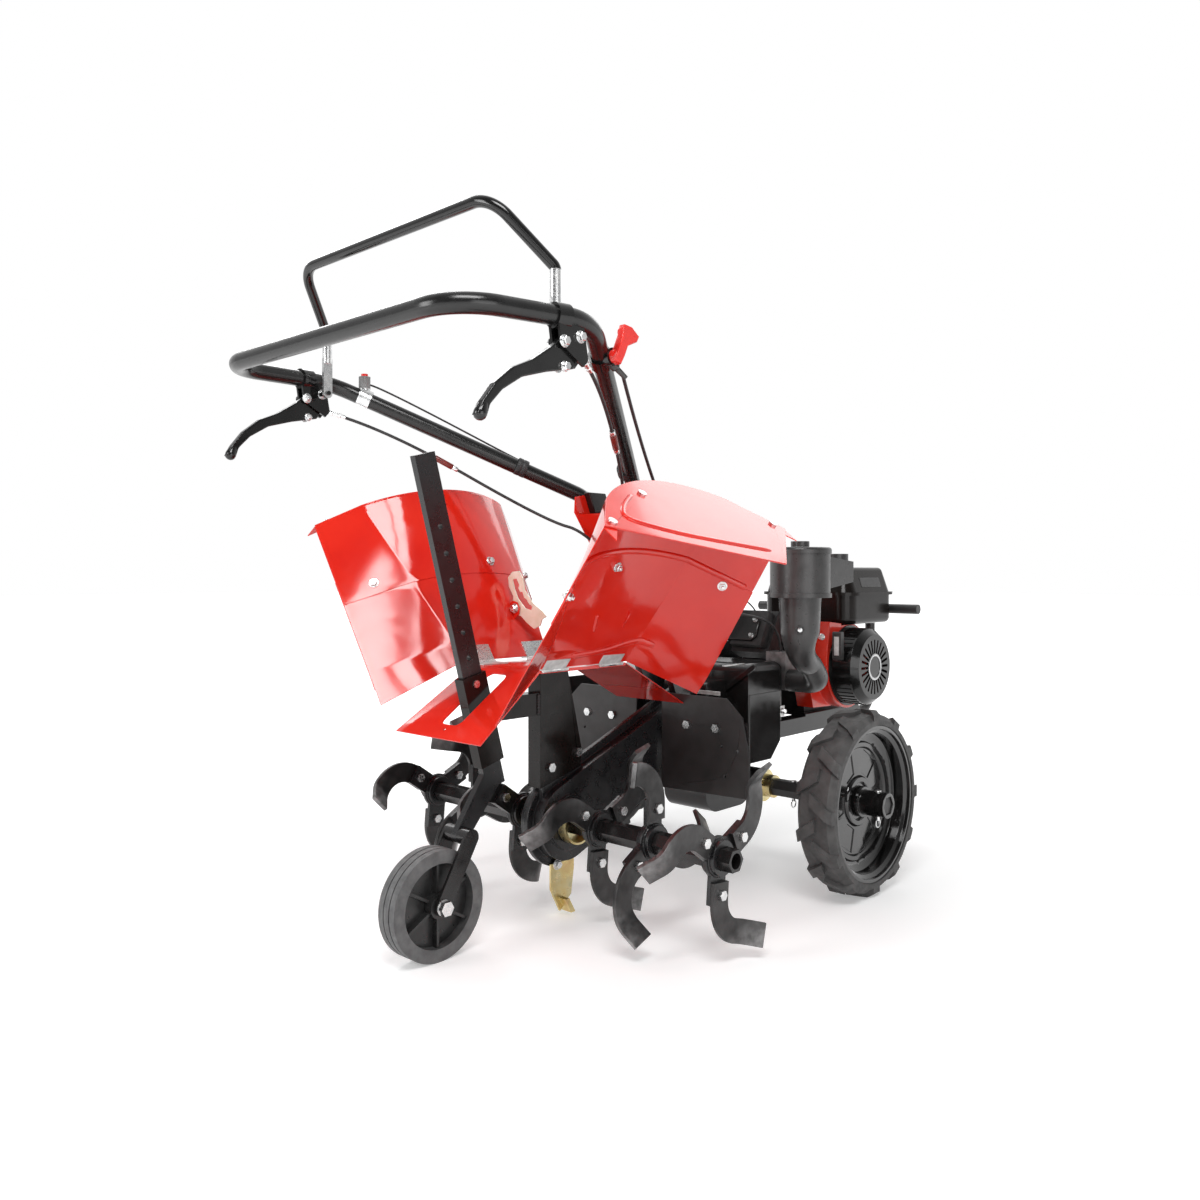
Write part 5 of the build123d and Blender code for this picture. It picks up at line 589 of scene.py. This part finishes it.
def soften_edges():
    """Rounded edges on the nodes, which keep their meshes."""
    for name, width in SOFT_EDGES.items():
        weld = nodes[name].modifiers.new("weld", "WELD")
        weld.merge_threshold = MERGE_DISTANCE * MM
        bevel = nodes[name].modifiers.new("bevel", "BEVEL")
        bevel.width = width * MM
        bevel.segments = EDGE_SEGMENTS
        bevel.limit_method = "ANGLE"
        bevel.angle_limit = math.radians(EDGE_ANGLE)
        nodes[name].modifiers.new("normals", "WEIGHTED_NORMAL")
    for name in ROUND_CASTINGS:
        remesh = nodes[name].modifiers.new("remesh", "REMESH")
        remesh.mode = "VOXEL"
        remesh.voxel_size = CASTING_VOXEL * MM
        remesh.use_smooth_shade = True
        smooth = nodes[name].modifiers.new("smooth", "SMOOTH")
        smooth.factor = CASTING_SMOOTH
        smooth.iterations = CASTING_ROUNDS


# Piece helpers
def axis_frame(origin, axis):
    """Matrix in metres whose Z runs along an axis from a place in metres."""
    matrix = Vector(axis).to_track_quat("Z", "Y").to_matrix().to_4x4()
    matrix.translation = origin
    return matrix


def put(piece, body):
    """Piece in the scene that moves with a body."""
    bpy.context.scene.collection.objects.link(piece)
    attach(piece, body)
    return piece


def new_piece(name, bm, finish, body):
    """Mesh piece in the row frame."""
    bmesh.ops.recalc_face_normals(bm, faces=bm.faces)
    mesh = bpy.data.meshes.new(name)
    bm.to_mesh(mesh)
    bm.free()
    mesh.shade_smooth()
    mesh.set_sharp_from_angle(angle=math.radians(SHARP_ANGLE))
    mesh.materials.append(finish)
    return put(bpy.data.objects.new(name, mesh), body)


def flat_plate(name, outlines, thick, matrix, finish, body, edge=PLATE_EDGE):
    """Plate with rounded edges; the outlines after the first are holes in it."""
    curve = bpy.data.curves.new(name, "CURVE")
    curve.dimensions = "2D"
    curve.fill_mode = "BOTH"
    curve.extrude = (thick / 2.0 - edge) * MM
    curve.bevel_depth = edge * MM
    curve.bevel_resolution = 2
    curve.offset = -edge * MM
    for outline in outlines:
        spline = curve.splines.new("POLY")
        spline.points.add(len(outline) - 1)
        for point, (x, y) in zip(spline.points, outline):
            point.co = (x * MM, y * MM, 0.0, 1.0)
        spline.use_cyclic_u = True
    curve.materials.append(finish)
    plate = bpy.data.objects.new(name, curve)
    plate.matrix_world = matrix
    return put(plate, body)


def rectangle(half_x, half_y):
    return ((-half_x, -half_y), (half_x, -half_y), (half_x, half_y), (-half_x, half_y))


def cut_rectangle(half_x, half_y, corner):
    """Rectangle with its corners cut off."""
    near_x = half_x - corner
    near_y = half_y - corner
    return ((-half_x, -near_y), (-near_x, -half_y), (near_x, -half_y), (half_x, -near_y),
            (half_x, near_y), (near_x, half_y), (-near_x, half_y), (-half_x, near_y))


def add_turned(bm, matrix, profile, steps=TURN_STEPS, closed=False):
    """Turned shape of a profile in (radius, height) millimetres; six steps make a hexagon."""
    rings = []
    for radius, height in profile:
        count = steps if radius > 0.0 else 1
        ring = []
        for step in range(count):
            angle = 2.0 * math.pi * step / count
            place = Vector((radius * math.cos(angle), radius * math.sin(angle), height)) * MM
            ring.append(bm.verts.new(matrix @ place))
        rings.append(ring)
    pairs = list(zip(rings, rings[1:]))
    if closed:
        pairs.append((rings[-1], rings[0]))
    for lower, upper in pairs:
        for step in range(steps):
            follow = step + 1
            corners = [lower[step % len(lower)], lower[follow % len(lower)], upper[follow % len(upper)],
                       upper[step % len(upper)]]
            bm.faces.new(list(dict.fromkeys(corners)))


def turned_piece(name, matrix, profile, finish, body, steps=TURN_STEPS, closed=False):
    bm = bmesh.new()
    add_turned(bm, matrix, profile, steps, closed)
    return new_piece(name, bm, finish, body)


def tube_profile(bore, radius, ends, edge):
    """Closed profile of a tube between two ends, with its outer edges taken off by (radius, length)."""
    start, end = ends
    cut, run = edge
    return ((bore, start), (radius - cut, start), (radius, start + run), (radius, end - run),
            (radius - cut, end), (bore, end))


def washer_profile(radius):
    shoulder = WASHER_THICK - WASHER_EDGE
    return ((0.0, 0.0), (radius, 0.0), (radius, shoulder), (radius - WASHER_EDGE, WASHER_THICK))


def add_bolt(bm, origin, axis, size=COMMON_BOLT):
    """Flanged hexagon head on its washer."""
    matrix = axis_frame(origin, axis)
    flats, washer = size
    corner = flats / math.sqrt(3.0)
    flange = flats / 2.0 + FLANGE_OUT
    lip, root = FLANGE_HEIGHTS
    add_turned(bm, matrix, (*washer_profile(washer), (flange, WASHER_THICK), (flange, lip), (corner, root),
                            (0.0, root)))
    foot, shoulder, top, dish = HEAD_HEIGHTS
    add_turned(bm, matrix, ((0.0, foot), (corner, foot), (corner, shoulder), (HEAD_CHAMFER * corner, top),
                            (0.0, dish)), HEXAGON)


def add_nut(bm, origin, axis, size=COMMON_BOLT, thread=THREAD_R):
    """Nut on its washer with the rounded end of the bolt standing out."""
    matrix = axis_frame(origin, axis)
    flats, washer = size
    corner = flats / math.sqrt(3.0)
    add_turned(bm, matrix, (*washer_profile(washer), (0.0, WASHER_THICK)))
    foot, shoulder, top = NUT_HEIGHTS
    add_turned(bm, matrix, ((0.0, foot), (corner, foot), (corner, shoulder), (NUT_CHAMFER * corner, top),
                            (0.0, top)), HEXAGON)
    foot, shoulder, top = THREAD_HEIGHTS
    add_turned(bm, matrix, ((0.0, foot), (thread, foot), (thread, shoulder), (thread - THREAD_EDGE, top),
                            (0.0, top)), THREAD_STEPS)


def bolt_piece(name, seats, size):
    """Bolts of one size on the chassis, at seats of (place in metres, axis)."""
    bolts = bmesh.new()
    for origin, axis in seats:
        add_bolt(bolts, origin, axis, size)
    return new_piece(name, bolts, zinc, "chassis")


def join_rows(bm, rows):
    """Skin over rows of points, closed at both ends."""
    count = len(rows[0])
    for first, second in zip(rows, rows[1:]):
        for corner in range(count):
            follow = (corner + 1) % count
            bm.faces.new((first[corner], first[follow], second[follow], second[corner]))
    bm.faces.new(rows[0])
    bm.faces.new(rows[-1])


def add_sweep(bm, line, section, taper=0):
    """Section of (across, up) millimetres carried along (place, up) pairs; it runs out over taper places."""
    rows = []
    last = len(line) - 1
    for index, (place, up) in enumerate(line):
        ahead = line[min(index + 1, last)][0] - line[max(index - 1, 0)][0]
        side = ahead.normalized().cross(up).normalized()
        room = min(index, last - index)
        scale = 1.0
        if room < taper:
            scale = math.sin(0.5 * math.pi * (room + TAPER_START) / (taper + TAPER_START))
        rows.append([bm.verts.new(place + (side * x * scale + up * z * scale) * MM) for x, z in section])
    join_rows(bm, rows)


def half_round(width, height, sunk=0.6, steps=8):
    """Low rounded section that stands on a sheet."""
    arc = [math.pi * step / steps for step in range(steps + 1)]
    top = [(width / 2.0 * math.cos(angle), height * math.sin(angle)) for angle in arc]
    return [*top, (-width / 2.0, -sunk), (width / 2.0, -sunk)]


def smooth_line(places, rounds=3):
    """Pressed line with its corners cut off a few times over."""
    for _ in range(rounds):
        finer = [places[0]]
        for start, end in zip(places, places[1:]):
            finer += [start.lerp(end, CORNER_CUT), start.lerp(end, 1.0 - CORNER_CUT)]
        places = [*finer, places[-1]]
    return places


def add_weld(bm, places, radius):
    """Bead of overlapping ripples through places in metres."""
    last = len(places) - 1
    circle = [2.0 * math.pi * step / WELD_SIDES for step in range(WELD_SIDES)]
    rows = []
    for index, place in enumerate(places):
        ahead = (places[min(index + 1, last)] - places[max(index - 1, 0)]).normalized()
        side = Vector(TO_RIGHT) - ahead * ahead.x
        other = ahead.cross(side)
        wave = abs(math.sin(math.pi * index / WELD_RIPPLE_STEPS))
        size = radius * (1.0 - WELD_RIPPLE + WELD_RIPPLE * wave) * MM
        rows.append([bm.verts.new(place + (side * math.cos(a) + other * math.sin(a)) * size) for a in circle])
    join_rows(bm, rows)


# Camera
def photo_camera():
    camera_data = bpy.data.cameras.new("camera")
    camera_data.lens = CAMERA_LENS
    camera_data.sensor_width = CAMERA_SENSOR
    camera_data.shift_y = CAMERA_SHIFT
    camera = bpy.data.objects.new("camera", camera_data)
    camera.location = at(*CAMERA_AT)
    camera.rotation_euler = (math.radians(90.0), 0.0, math.radians(CAMERA_TURN))
    bpy.context.scene.collection.objects.link(camera)
    bpy.context.scene.camera = camera


# Control cables
def route_curve(name, points):
    """Curve of one open smooth spline with a route's points as its control points."""
    curve = bpy.data.curves.new(name, "CURVE")
    curve.dimensions = "3D"
    curve.resolution_u = ROUTE_STEPS
    spline = curve.splines.new("NURBS")
    spline.points.add(len(points) - 1)
    for point, place in zip(spline.points, points):
        point.co = (*at(*place), 1.0)
    spline.order_u = 3
    spline.use_endpoint_u = True
    return curve


def route_places(points):
    """Places in metres along the smooth line of a route."""
    curve = route_curve("route", points)
    line = bpy.data.meshes.new_from_object(bpy.data.objects.new("route", curve))
    places = [vertex.co.copy() for vertex in line.vertices]
    bpy.data.meshes.remove(line)
    bpy.data.curves.remove(curve)
    return places


def along(places, distance):
    """Place and direction at a distance in millimetres along a line in metres."""
    left = distance * MM
    for start, end in zip(places, places[1:]):
        step = (end - start).length
        if left <= step:
            return start.lerp(end, left / step), end - start
        left -= step
    return places[-1], places[-1] - places[-2]


def cable_fittings(name, places):
    """Chrome barrel where a cable leaves its lever, and the sleeved adjuster further along."""
    chrome = bmesh.new()
    add_turned(chrome, axis_frame(*along(places, BARREL_ALONG)), BARREL_PROFILE, steps=24, closed=True)
    middle = axis_frame(*along(places, ADJUSTER_ALONG))
    for ends in ADJUSTER_ENDS:
        profile = tube_profile(FITTING_BORE_R, ADJUSTER_R, ends, ADJUSTER_EDGE)
        add_turned(chrome, middle, profile, steps=24, closed=True)
    barrel = new_piece(f"{name}_barrel", chrome, zinc, "chassis")
    profile = tube_profile(FITTING_BORE_R, SLEEVE_R, SLEEVE_ENDS, SLEEVE_EDGE)
    sleeve = turned_piece(f"{name}_sleeve", middle, profile, sleeve_red, "chassis",
                          steps=24, closed=True)
    return [barrel, sleeve]


def lay_cord(name, points, diameter, fitted):
    """Smooth cable through its route's control points, in place of its solid."""
    curve = route_curve(name, points)
    curve.bevel_depth = diameter / 2.0 * MM
    curve.bevel_resolution = 3
    curve.use_fill_caps = True
    curve.materials.append(rubber)
    cord = put(bpy.data.objects.new(name, curve), "chassis")
    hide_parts("control_cables")
    places = route_places(points)
    fittings = cable_fittings(name, places) if fitted else []


def control_cables():
    left_cable = tuple((-x, y, z) for x, y, z in LEVER_CABLE)
    lay_cord("lever_cable_right", LEVER_CABLE, CABLE_D, True)
    lay_cord("lever_cable_left", left_cable, CABLE_D, True)
    lay_cord("throttle_cable", THROTTLE_CABLE, CABLE_D, False)
    lay_cord("stop_wire", STOP_WIRE, WIRE_D, False)


# Wings
def wing_axes(side):
    """Directions out along a wing and up from it, at its folded place."""
    fold = math.radians(FOLDS[side])
    sign = SIDES[side]
    out = Vector((sign * math.cos(fold), 0.0, math.sin(fold)))
    up = Vector((-sign * math.sin(fold), 0.0, math.cos(fold)))
    return out, up


def wing_point(side, s, y, h):
    out, up = wing_axes(side)
    return at(SIDES[side] * HINGE_X, y, HINGE_Z) + (out * s + up * h) * MM


def wing_plane(side, y):
    """Frame of a plate across the wing: X out, Y up from it, Z along the machine."""
    out, up = wing_axes(side)
    matrix = Matrix((out, up, out.cross(up))).transposed().to_4x4()
    matrix.translation = wing_point(side, 0.0, y, 0.0)
    return matrix


def on_wing(side, s, y, under):
    """Place and normal on the upper or the lower face of a wing's sheet."""
    _, up = wing_axes(side)
    way = up if under else -up
    start = wing_point(side, s, y, -SHEET_SEARCH if under else SHEET_SEARCH)
    _, place, normal, _ = nodes[f"wing_{side}"].ray_cast(start, way)
    return place, normal if normal.dot(way) < 0.0 else -normal


def wing_run(side, places):
    """Line under a wing's sheet through (s, y) places, with the sheet's normals."""
    flat = smooth_line([Vector((s, y, 0.0)) for s, y in places])
    return [on_wing(side, place.x, place.y, True) for place in flat]


def pressed_lines(side):
    """Bead, mark and lap of the sheet, and the raised line of the end plate."""
    pressed = bmesh.new()
    add_sweep(pressed, wing_run(side, WING_BEAD), half_round(*BEAD_SECTION), BEAD_TAPER)
    add_sweep(pressed, wing_run(side, WING_MARK), half_round(*MARK_SECTION), MARK_TAPER)
    span = WING_LAP_FRONT_Y - WING_LAP_REAR_Y
    lap = [(WING_LAP_S, WING_LAP_REAR_Y + span * step / LAP_STEPS) for step in range(LAP_STEPS + 1)]
    add_sweep(pressed, wing_run(side, lap), half_round(*LAP_SECTION), LAP_TAPER)
    out, _ = wing_axes(side)
    line = smooth_line([wing_point(side, END_PLATE_S, y, h) for y, h in END_PLATE_LINE])
    add_sweep(pressed, [(place, out) for place in line], half_round(*END_PLATE_SECTION), END_PLATE_TAPER)
    new_piece(f"pressed_lines_{side}", pressed, red_paint, f"wing_{side}")


def wing_details(side):
    body = f"wing_{side}"
    pressed_lines(side)
    bolts = bmesh.new()
    for s, y in WING_SHEET_BOLTS[side]:
        add_bolt(bolts, *on_wing(side, s, y, False))
        add_nut(bolts, *on_wing(side, s, y, True))
    for index, y in enumerate(HINGE_BACKS):
        seat = axis_frame(*on_wing(side, HINGE_BACK_S, y, True))
        flat_plate(f"hinge_back_{side}_{index}", (rectangle(*HINGE_BACK_HALF),), STAY_THICK, seat, galvanised,
                   body)
    s, h = STAY_PIVOT
    lengthways = wing_plane(side, 0.0).col[2].to_3d()
    rear = lengthways if lengthways.y < 0.0 else -lengthways
    add_bolt(bolts, wing_point(side, s, STAY_EAR_Y - STAY_THICK / 2.0, h), rear, LARGE_BOLT)
    add_nut(bolts, wing_point(side, s, STAY_Y + STAY_THICK / 2.0, h), -rear)
    new_piece(f"sheet_bolts_{side}", bolts, zinc, body)
    flat_plate(f"stay_ear_{side}", (STAY_EAR,), STAY_THICK, wing_plane(side, STAY_EAR_Y), red_paint,
               body)
    flat_plate(f"wing_stay_{side}", (STAY_OUTLINE, STAY_SLOT), STAY_THICK, wing_plane(side, STAY_Y),
               pale_zinc, body)


# Controls
def mirror_x(place, sign):
    return at(sign * place[0], place[1], place[2])


def control_details(side):
    sign = SIDES[side]
    outward = (sign, 0.0, 0.0)
    inward = (-sign, 0.0, 0.0)
    lever = f"lever_{side}"
    bolts = bmesh.new()
    for y, z in CHEEK_BOLTS:
        add_bolt(bolts, mirror_x((LEVER_X + CHEEK_OUT, y, z), sign), outward)
        add_nut(bolts, mirror_x((LEVER_X - CHEEK_OUT, y, z), sign), inward)
    new_piece(f"cheek_bolts_{side}", bolts, zinc, "chassis")
    screw = bmesh.new()
    add_bolt(screw, mirror_x((LEVER_X + LEVER_OUT, *LEVER_BOLT), sign), outward, LEVER_BOLT_SIZE)
    add_nut(screw, mirror_x((LEVER_X - LEVER_OUT, *LEVER_BOLT), sign), inward, SMALL_BOLT, LEVER_THREAD_R)
    new_piece(f"lever_screw_{side}", screw, zinc, lever)
    tip = axis_frame(mirror_x((LEVER_X, *LEVER_TIP), sign), LEVER_TIP_AXIS)
    turned_piece(f"lever_tip_{side}", tip, LEVER_TIP_PROFILE, gloss_black, lever,
                 steps=LEVER_TIP_STEPS)
    start = mirror_x(ARM_TOP, sign)
    end = mirror_x(GRIP, sign)
    inner = HANDLE_R + CLIP_GAP
    outer = HANDLE_R + CLIP_THICK
    face = [(outer - depth, height) for depth, height in CLIP_PROFILE]
    turned_piece(f"cable_clip_{side}", axis_frame(start.lerp(end, ARM_CLIPS[side]), end - start),
                 ((inner, -CLIP_HALF), *face, (inner, CLIP_HALF)), rubber, "chassis",
                 steps=CLIP_STEPS, closed=True)


def throttle_details():
    start = at(*THROTTLE_BOOT)
    end = at(*THROTTLE_CABLE[0])
    length = (end - start).length / MM
    tip = length + BOOT_PAST
    shoulders = [(radius, share * length) for radius, share in BOOT_SHOULDERS]
    turned_piece("throttle_boot", axis_frame(start, end - start),
                 ((0.0, 0.0), *shoulders, (BOOT_END_R, tip), (0.0, tip)), moulded, "chassis")
    lean = Matrix.Rotation(math.radians(-THROTTLE_LEAN), 4, "X")
    place = Matrix.Translation(at(*THROTTLE_KNOB)) @ lean @ axis_frame(Vector(), TO_RIGHT)
    flat_plate("throttle_knob", (KNOB_OUTLINE,), KNOB_THICK, place, red_plastic, "throttle",
               KNOB_EDGE)


# Engine
def recoil_details():
    ribs = bmesh.new()
    for index in range(RECOIL_RIBS):
        angle = 2.0 * math.pi * index / RECOIL_RIBS
        up = Vector((0.0, math.cos(angle), math.sin(angle)))
        line = [(at(x, CRANK_Y, CRANK_Z) + up * RECOIL_R * MM, up) for x in RECOIL_RIB_X]
        add_sweep(ribs, line, RECOIL_RIB_SECTION)
    new_piece("recoil_ribs", ribs, gloss_black, "chassis")
    face = axis_frame(at(RECOIL_FACE_X, CRANK_Y, CRANK_Z), TO_RIGHT)
    turned_piece("recoil_ring", face, RECOIL_RING, bright_steel, "chassis",
                 steps=RECOIL_RING_STEPS, closed=True)


def engine_details():
    flat_plate("grip_insert", (rectangle(*GRIP_INSERT_HALF),), GRIP_INSERT_THICK,
               axis_frame(at(*GRIP_FACE), TO_REAR), galvanised, "starter", GRIP_INSERT_EDGE)
    seat = axis_frame(at(*CLEANER_SCREW), CLEANER_SCREW_AXIS)
    turned_piece("cleaner_screw_ring", seat, CLEANER_RING_PROFILE, moulded, "chassis",
                 steps=CLEANER_RING_STEPS, closed=True)
    turned_piece("cleaner_screw", seat, CLEANER_SCREW_PROFILE, zinc, "chassis",
                 steps=CLEANER_SCREW_STEPS)
    flat_plate("tank_plate", (rectangle(*TANK_PLATE_HALF),), TANK_PLATE_THICK,
               axis_frame(at(*TANK_PLATE), TANK_PLATE_AXIS), moulded, "chassis",
               TANK_PLATE_EDGE)


def valve_cover():
    cover = axis_frame(at(*HEAD_FACE), HEAD_AXIS)
    outline = cut_rectangle(*VALVE_COVER, VALVE_COVER_CORNER)
    flat_plate("valve_cover", (outline,), VALVE_COVER_THICK, cover, black_paint, "chassis",
               VALVE_COVER_EDGE)
    half_x, half_y = VALVE_COVER
    seats = []
    for x in (VALVE_COVER_CORNER - half_x, half_x - VALVE_COVER_CORNER):
        for y in (VALVE_COVER_CORNER - half_y, half_y - VALVE_COVER_CORNER):
            seats.append((cover @ (Vector((x, y, VALVE_COVER_THICK / 2.0)) * MM), HEAD_AXIS))
    bolt_piece("valve_cover_bolts", seats, COVER_BOLT)


# Gearbox, wheels and rotor
def gearbox_details():
    """Blade bolt, and the straps, bolts and gear lever beside the gearbox."""
    bolt_piece("blade_bolt", ((at(*BLADE_BOLT), TO_RIGHT),), LARGE_BOLT)
    for name, origin, axis, half in STRAPS:
        flat_plate(name, (rectangle(*half),), STRAP_THICK, axis_frame(at(*origin), axis), galvanised,
                   "chassis")
    bolt_piece("bay_bolts", [(at(*origin), axis) for origin, axis in BAY_BOLTS], SMALL_BOLT)
    flat_plate("gear_lever", (GEAR_LEVER,), GEAR_LEVER_THICK, axis_frame(at(0.0, GEAR_LEVER_Y, 0.0), TO_REAR),
               black_paint, "chassis", GEAR_LEVER_EDGE)


def rim_rings(side):
    """Pressed rings in the web of a wheel."""
    sign = SIDES[side]
    web = axis_frame(at(sign * RIM_WEB_X, 0.0, WHEEL_Z), (sign, 0.0, 0.0))
    along_slope, up_slope = RIM_RING_SHOULDER
    rings = bmesh.new()
    for inner, outer, height in RIM_RINGS:
        slope = (outer - inner) * RIM_RING_SLOPE
        part = along_slope * slope
        rise = up_slope * height
        add_turned(rings, web, ((inner, -RIM_RING_SUNK), (inner + part, rise), (inner + slope, height),
                                (outer - slope, height), (outer - part, rise), (outer, -RIM_RING_SUNK)),
                   RIM_RING_STEPS, True)
    new_piece(f"rim_rings_{side}", rings, rim_black, "wheels")


def post_weld():
    start, end = (at(*place) for place in POST_WELD)
    weld = bmesh.new()
    places = [start.lerp(end, step / POST_WELD_STEPS) for step in range(POST_WELD_STEPS + 1)]
    add_weld(weld, places, POST_WELD_R)
    new_piece("post_weld", weld, rough_paint, "chassis")


def hub_welds():
    """Beads round the tine hubs on both faces of their plates."""
    turns = [2.0 * math.pi * step / HUB_WELD_STEPS for step in range(HUB_WELD_STEPS + 1)]
    circle = [(ROTOR_Y + HUB_BOSS_R * math.cos(a), ROTOR_Z + HUB_BOSS_R * math.sin(a)) for a in turns]
    welds = bmesh.new()
    for x in (*TINE_HUB_X, *(-x for x in TINE_HUB_X)):
        for face in (x - HUB_PLATE_HALF, x + HUB_PLATE_HALF):
            add_weld(welds, [at(face, y, z) for y, z in circle], HUB_WELD_R)
    new_piece("hub_welds", welds, rough_paint, "rotor")


# Floor and studio light
def seen_directly(tree):
    """One for rays of the camera and of reflections, which see the white background."""
    path = tree.nodes.new("ShaderNodeLightPath")
    total = path.outputs["Is Camera Ray"]
    for ray in ("Is Glossy Ray", "Is Transmission Ray"):
        total = value_step(tree, "MAXIMUM", total, path.outputs[ray])
    return total


def floor_plane():
    """Pale floor that grows white away from the machine and keeps its shadow."""
    mesh = bpy.data.meshes.new("floor")
    corners = [(x, y, 0.0) for x, y in rectangle(FLOOR_HALF, FLOOR_HALF)]
    mesh.from_pydata(corners, [], [(0, 1, 2, 3)])
    floor = bpy.data.objects.new("floor", mesh)
    bpy.context.scene.collection.objects.link(floor)
    material, tree, shader = new_material("floor")
    tree.links.new(mottle(tree, 0.8, *FLOOR_TONES, stops=NOISE_RANGE), shader.inputs["Base Color"])
    shader.inputs["Roughness"].default_value = FLOOR_ROUGHNESS
    shader.inputs["Specular IOR Level"].default_value = FLOOR_SPECULAR
    shader.inputs["Emission Color"].default_value = WHITE
    far = vector_step(tree, "LENGTH", coordinates(tree)).outputs["Value"]
    strength = remap(tree, far, *FLOOR_GLOW_REACH, *FLOOR_GLOW)
    glow = value_step(tree, "MULTIPLY", strength, seen_directly(tree))
    tree.links.new(glow, shader.inputs["Emission Strength"])
    floor.data.materials.append(material)


def studio_world():
    """White all round, greyer from the side of the camera, and white to the camera itself."""
    world = bpy.data.worlds.new("studio")
    bpy.context.scene.world = world
    world.use_nodes = True
    tree = world.node_tree
    around = tree.nodes.new("ShaderNodeTexCoord").outputs["Generated"]
    toward = vector_step(tree, "DOT_PRODUCT", around, WORLD_DARK_SIDE).outputs["Value"]
    shade = ramp(tree, remap(tree, toward, *WORLD_TURN, 0.0, 1.0), tuple(zip((0.0, 1.0), WORLD_TONES)))
    white = tree.nodes.new("ShaderNodeMix")
    white.data_type = "RGBA"
    white.inputs["B"].default_value = WHITE
    tree.links.new(tree.nodes.new("ShaderNodeLightPath").outputs["Is Camera Ray"], white.inputs["Factor"])
    tree.links.new(shade, white.inputs["A"])
    back = tree.nodes["Background"]
    tree.links.new(white.outputs["Result"], back.inputs["Color"])
    back.inputs["Strength"].default_value = 1.0


def softbox(name, turn, rise, distance, size, power):
    """Rectangular light that looks at the machine from a turn about Z and a rise over the floor."""
    turn = math.radians(turn)
    rise = math.radians(rise)
    way = Vector((math.cos(turn) * math.cos(rise), math.sin(turn) * math.cos(rise), math.sin(rise)))
    light = bpy.data.lights.new(name, "AREA")
    light.shape = "RECTANGLE"
    light.size, light.size_y = size
    light.energy = power
    lamp = bpy.data.objects.new(name, light)
    lamp.location = Vector(LIGHT_TARGET) + way * distance
    lamp.rotation_euler = way.to_track_quat("Z", "Y").to_euler()
    bpy.context.scene.collection.objects.link(lamp)


# The model; the wings' details are set on the sheets with their soft edges
dress_nodes()
photo_camera()
control_cables()
soften_edges()
bpy.context.view_layer.update()
for side in SIDES:
    wing_details(side)
for side in SIDES:
    control_details(side)
recoil_details()
engine_details()
gearbox_details()
valve_cover()
throttle_details()
for side in SIDES:
    rim_rings(side)
post_weld()
hub_welds()

# The stage
floor_plane()
studio_world()
for light in LIGHTS:
    softbox(*light)
bpy.context.scene.view_settings.view_transform = "Standard"
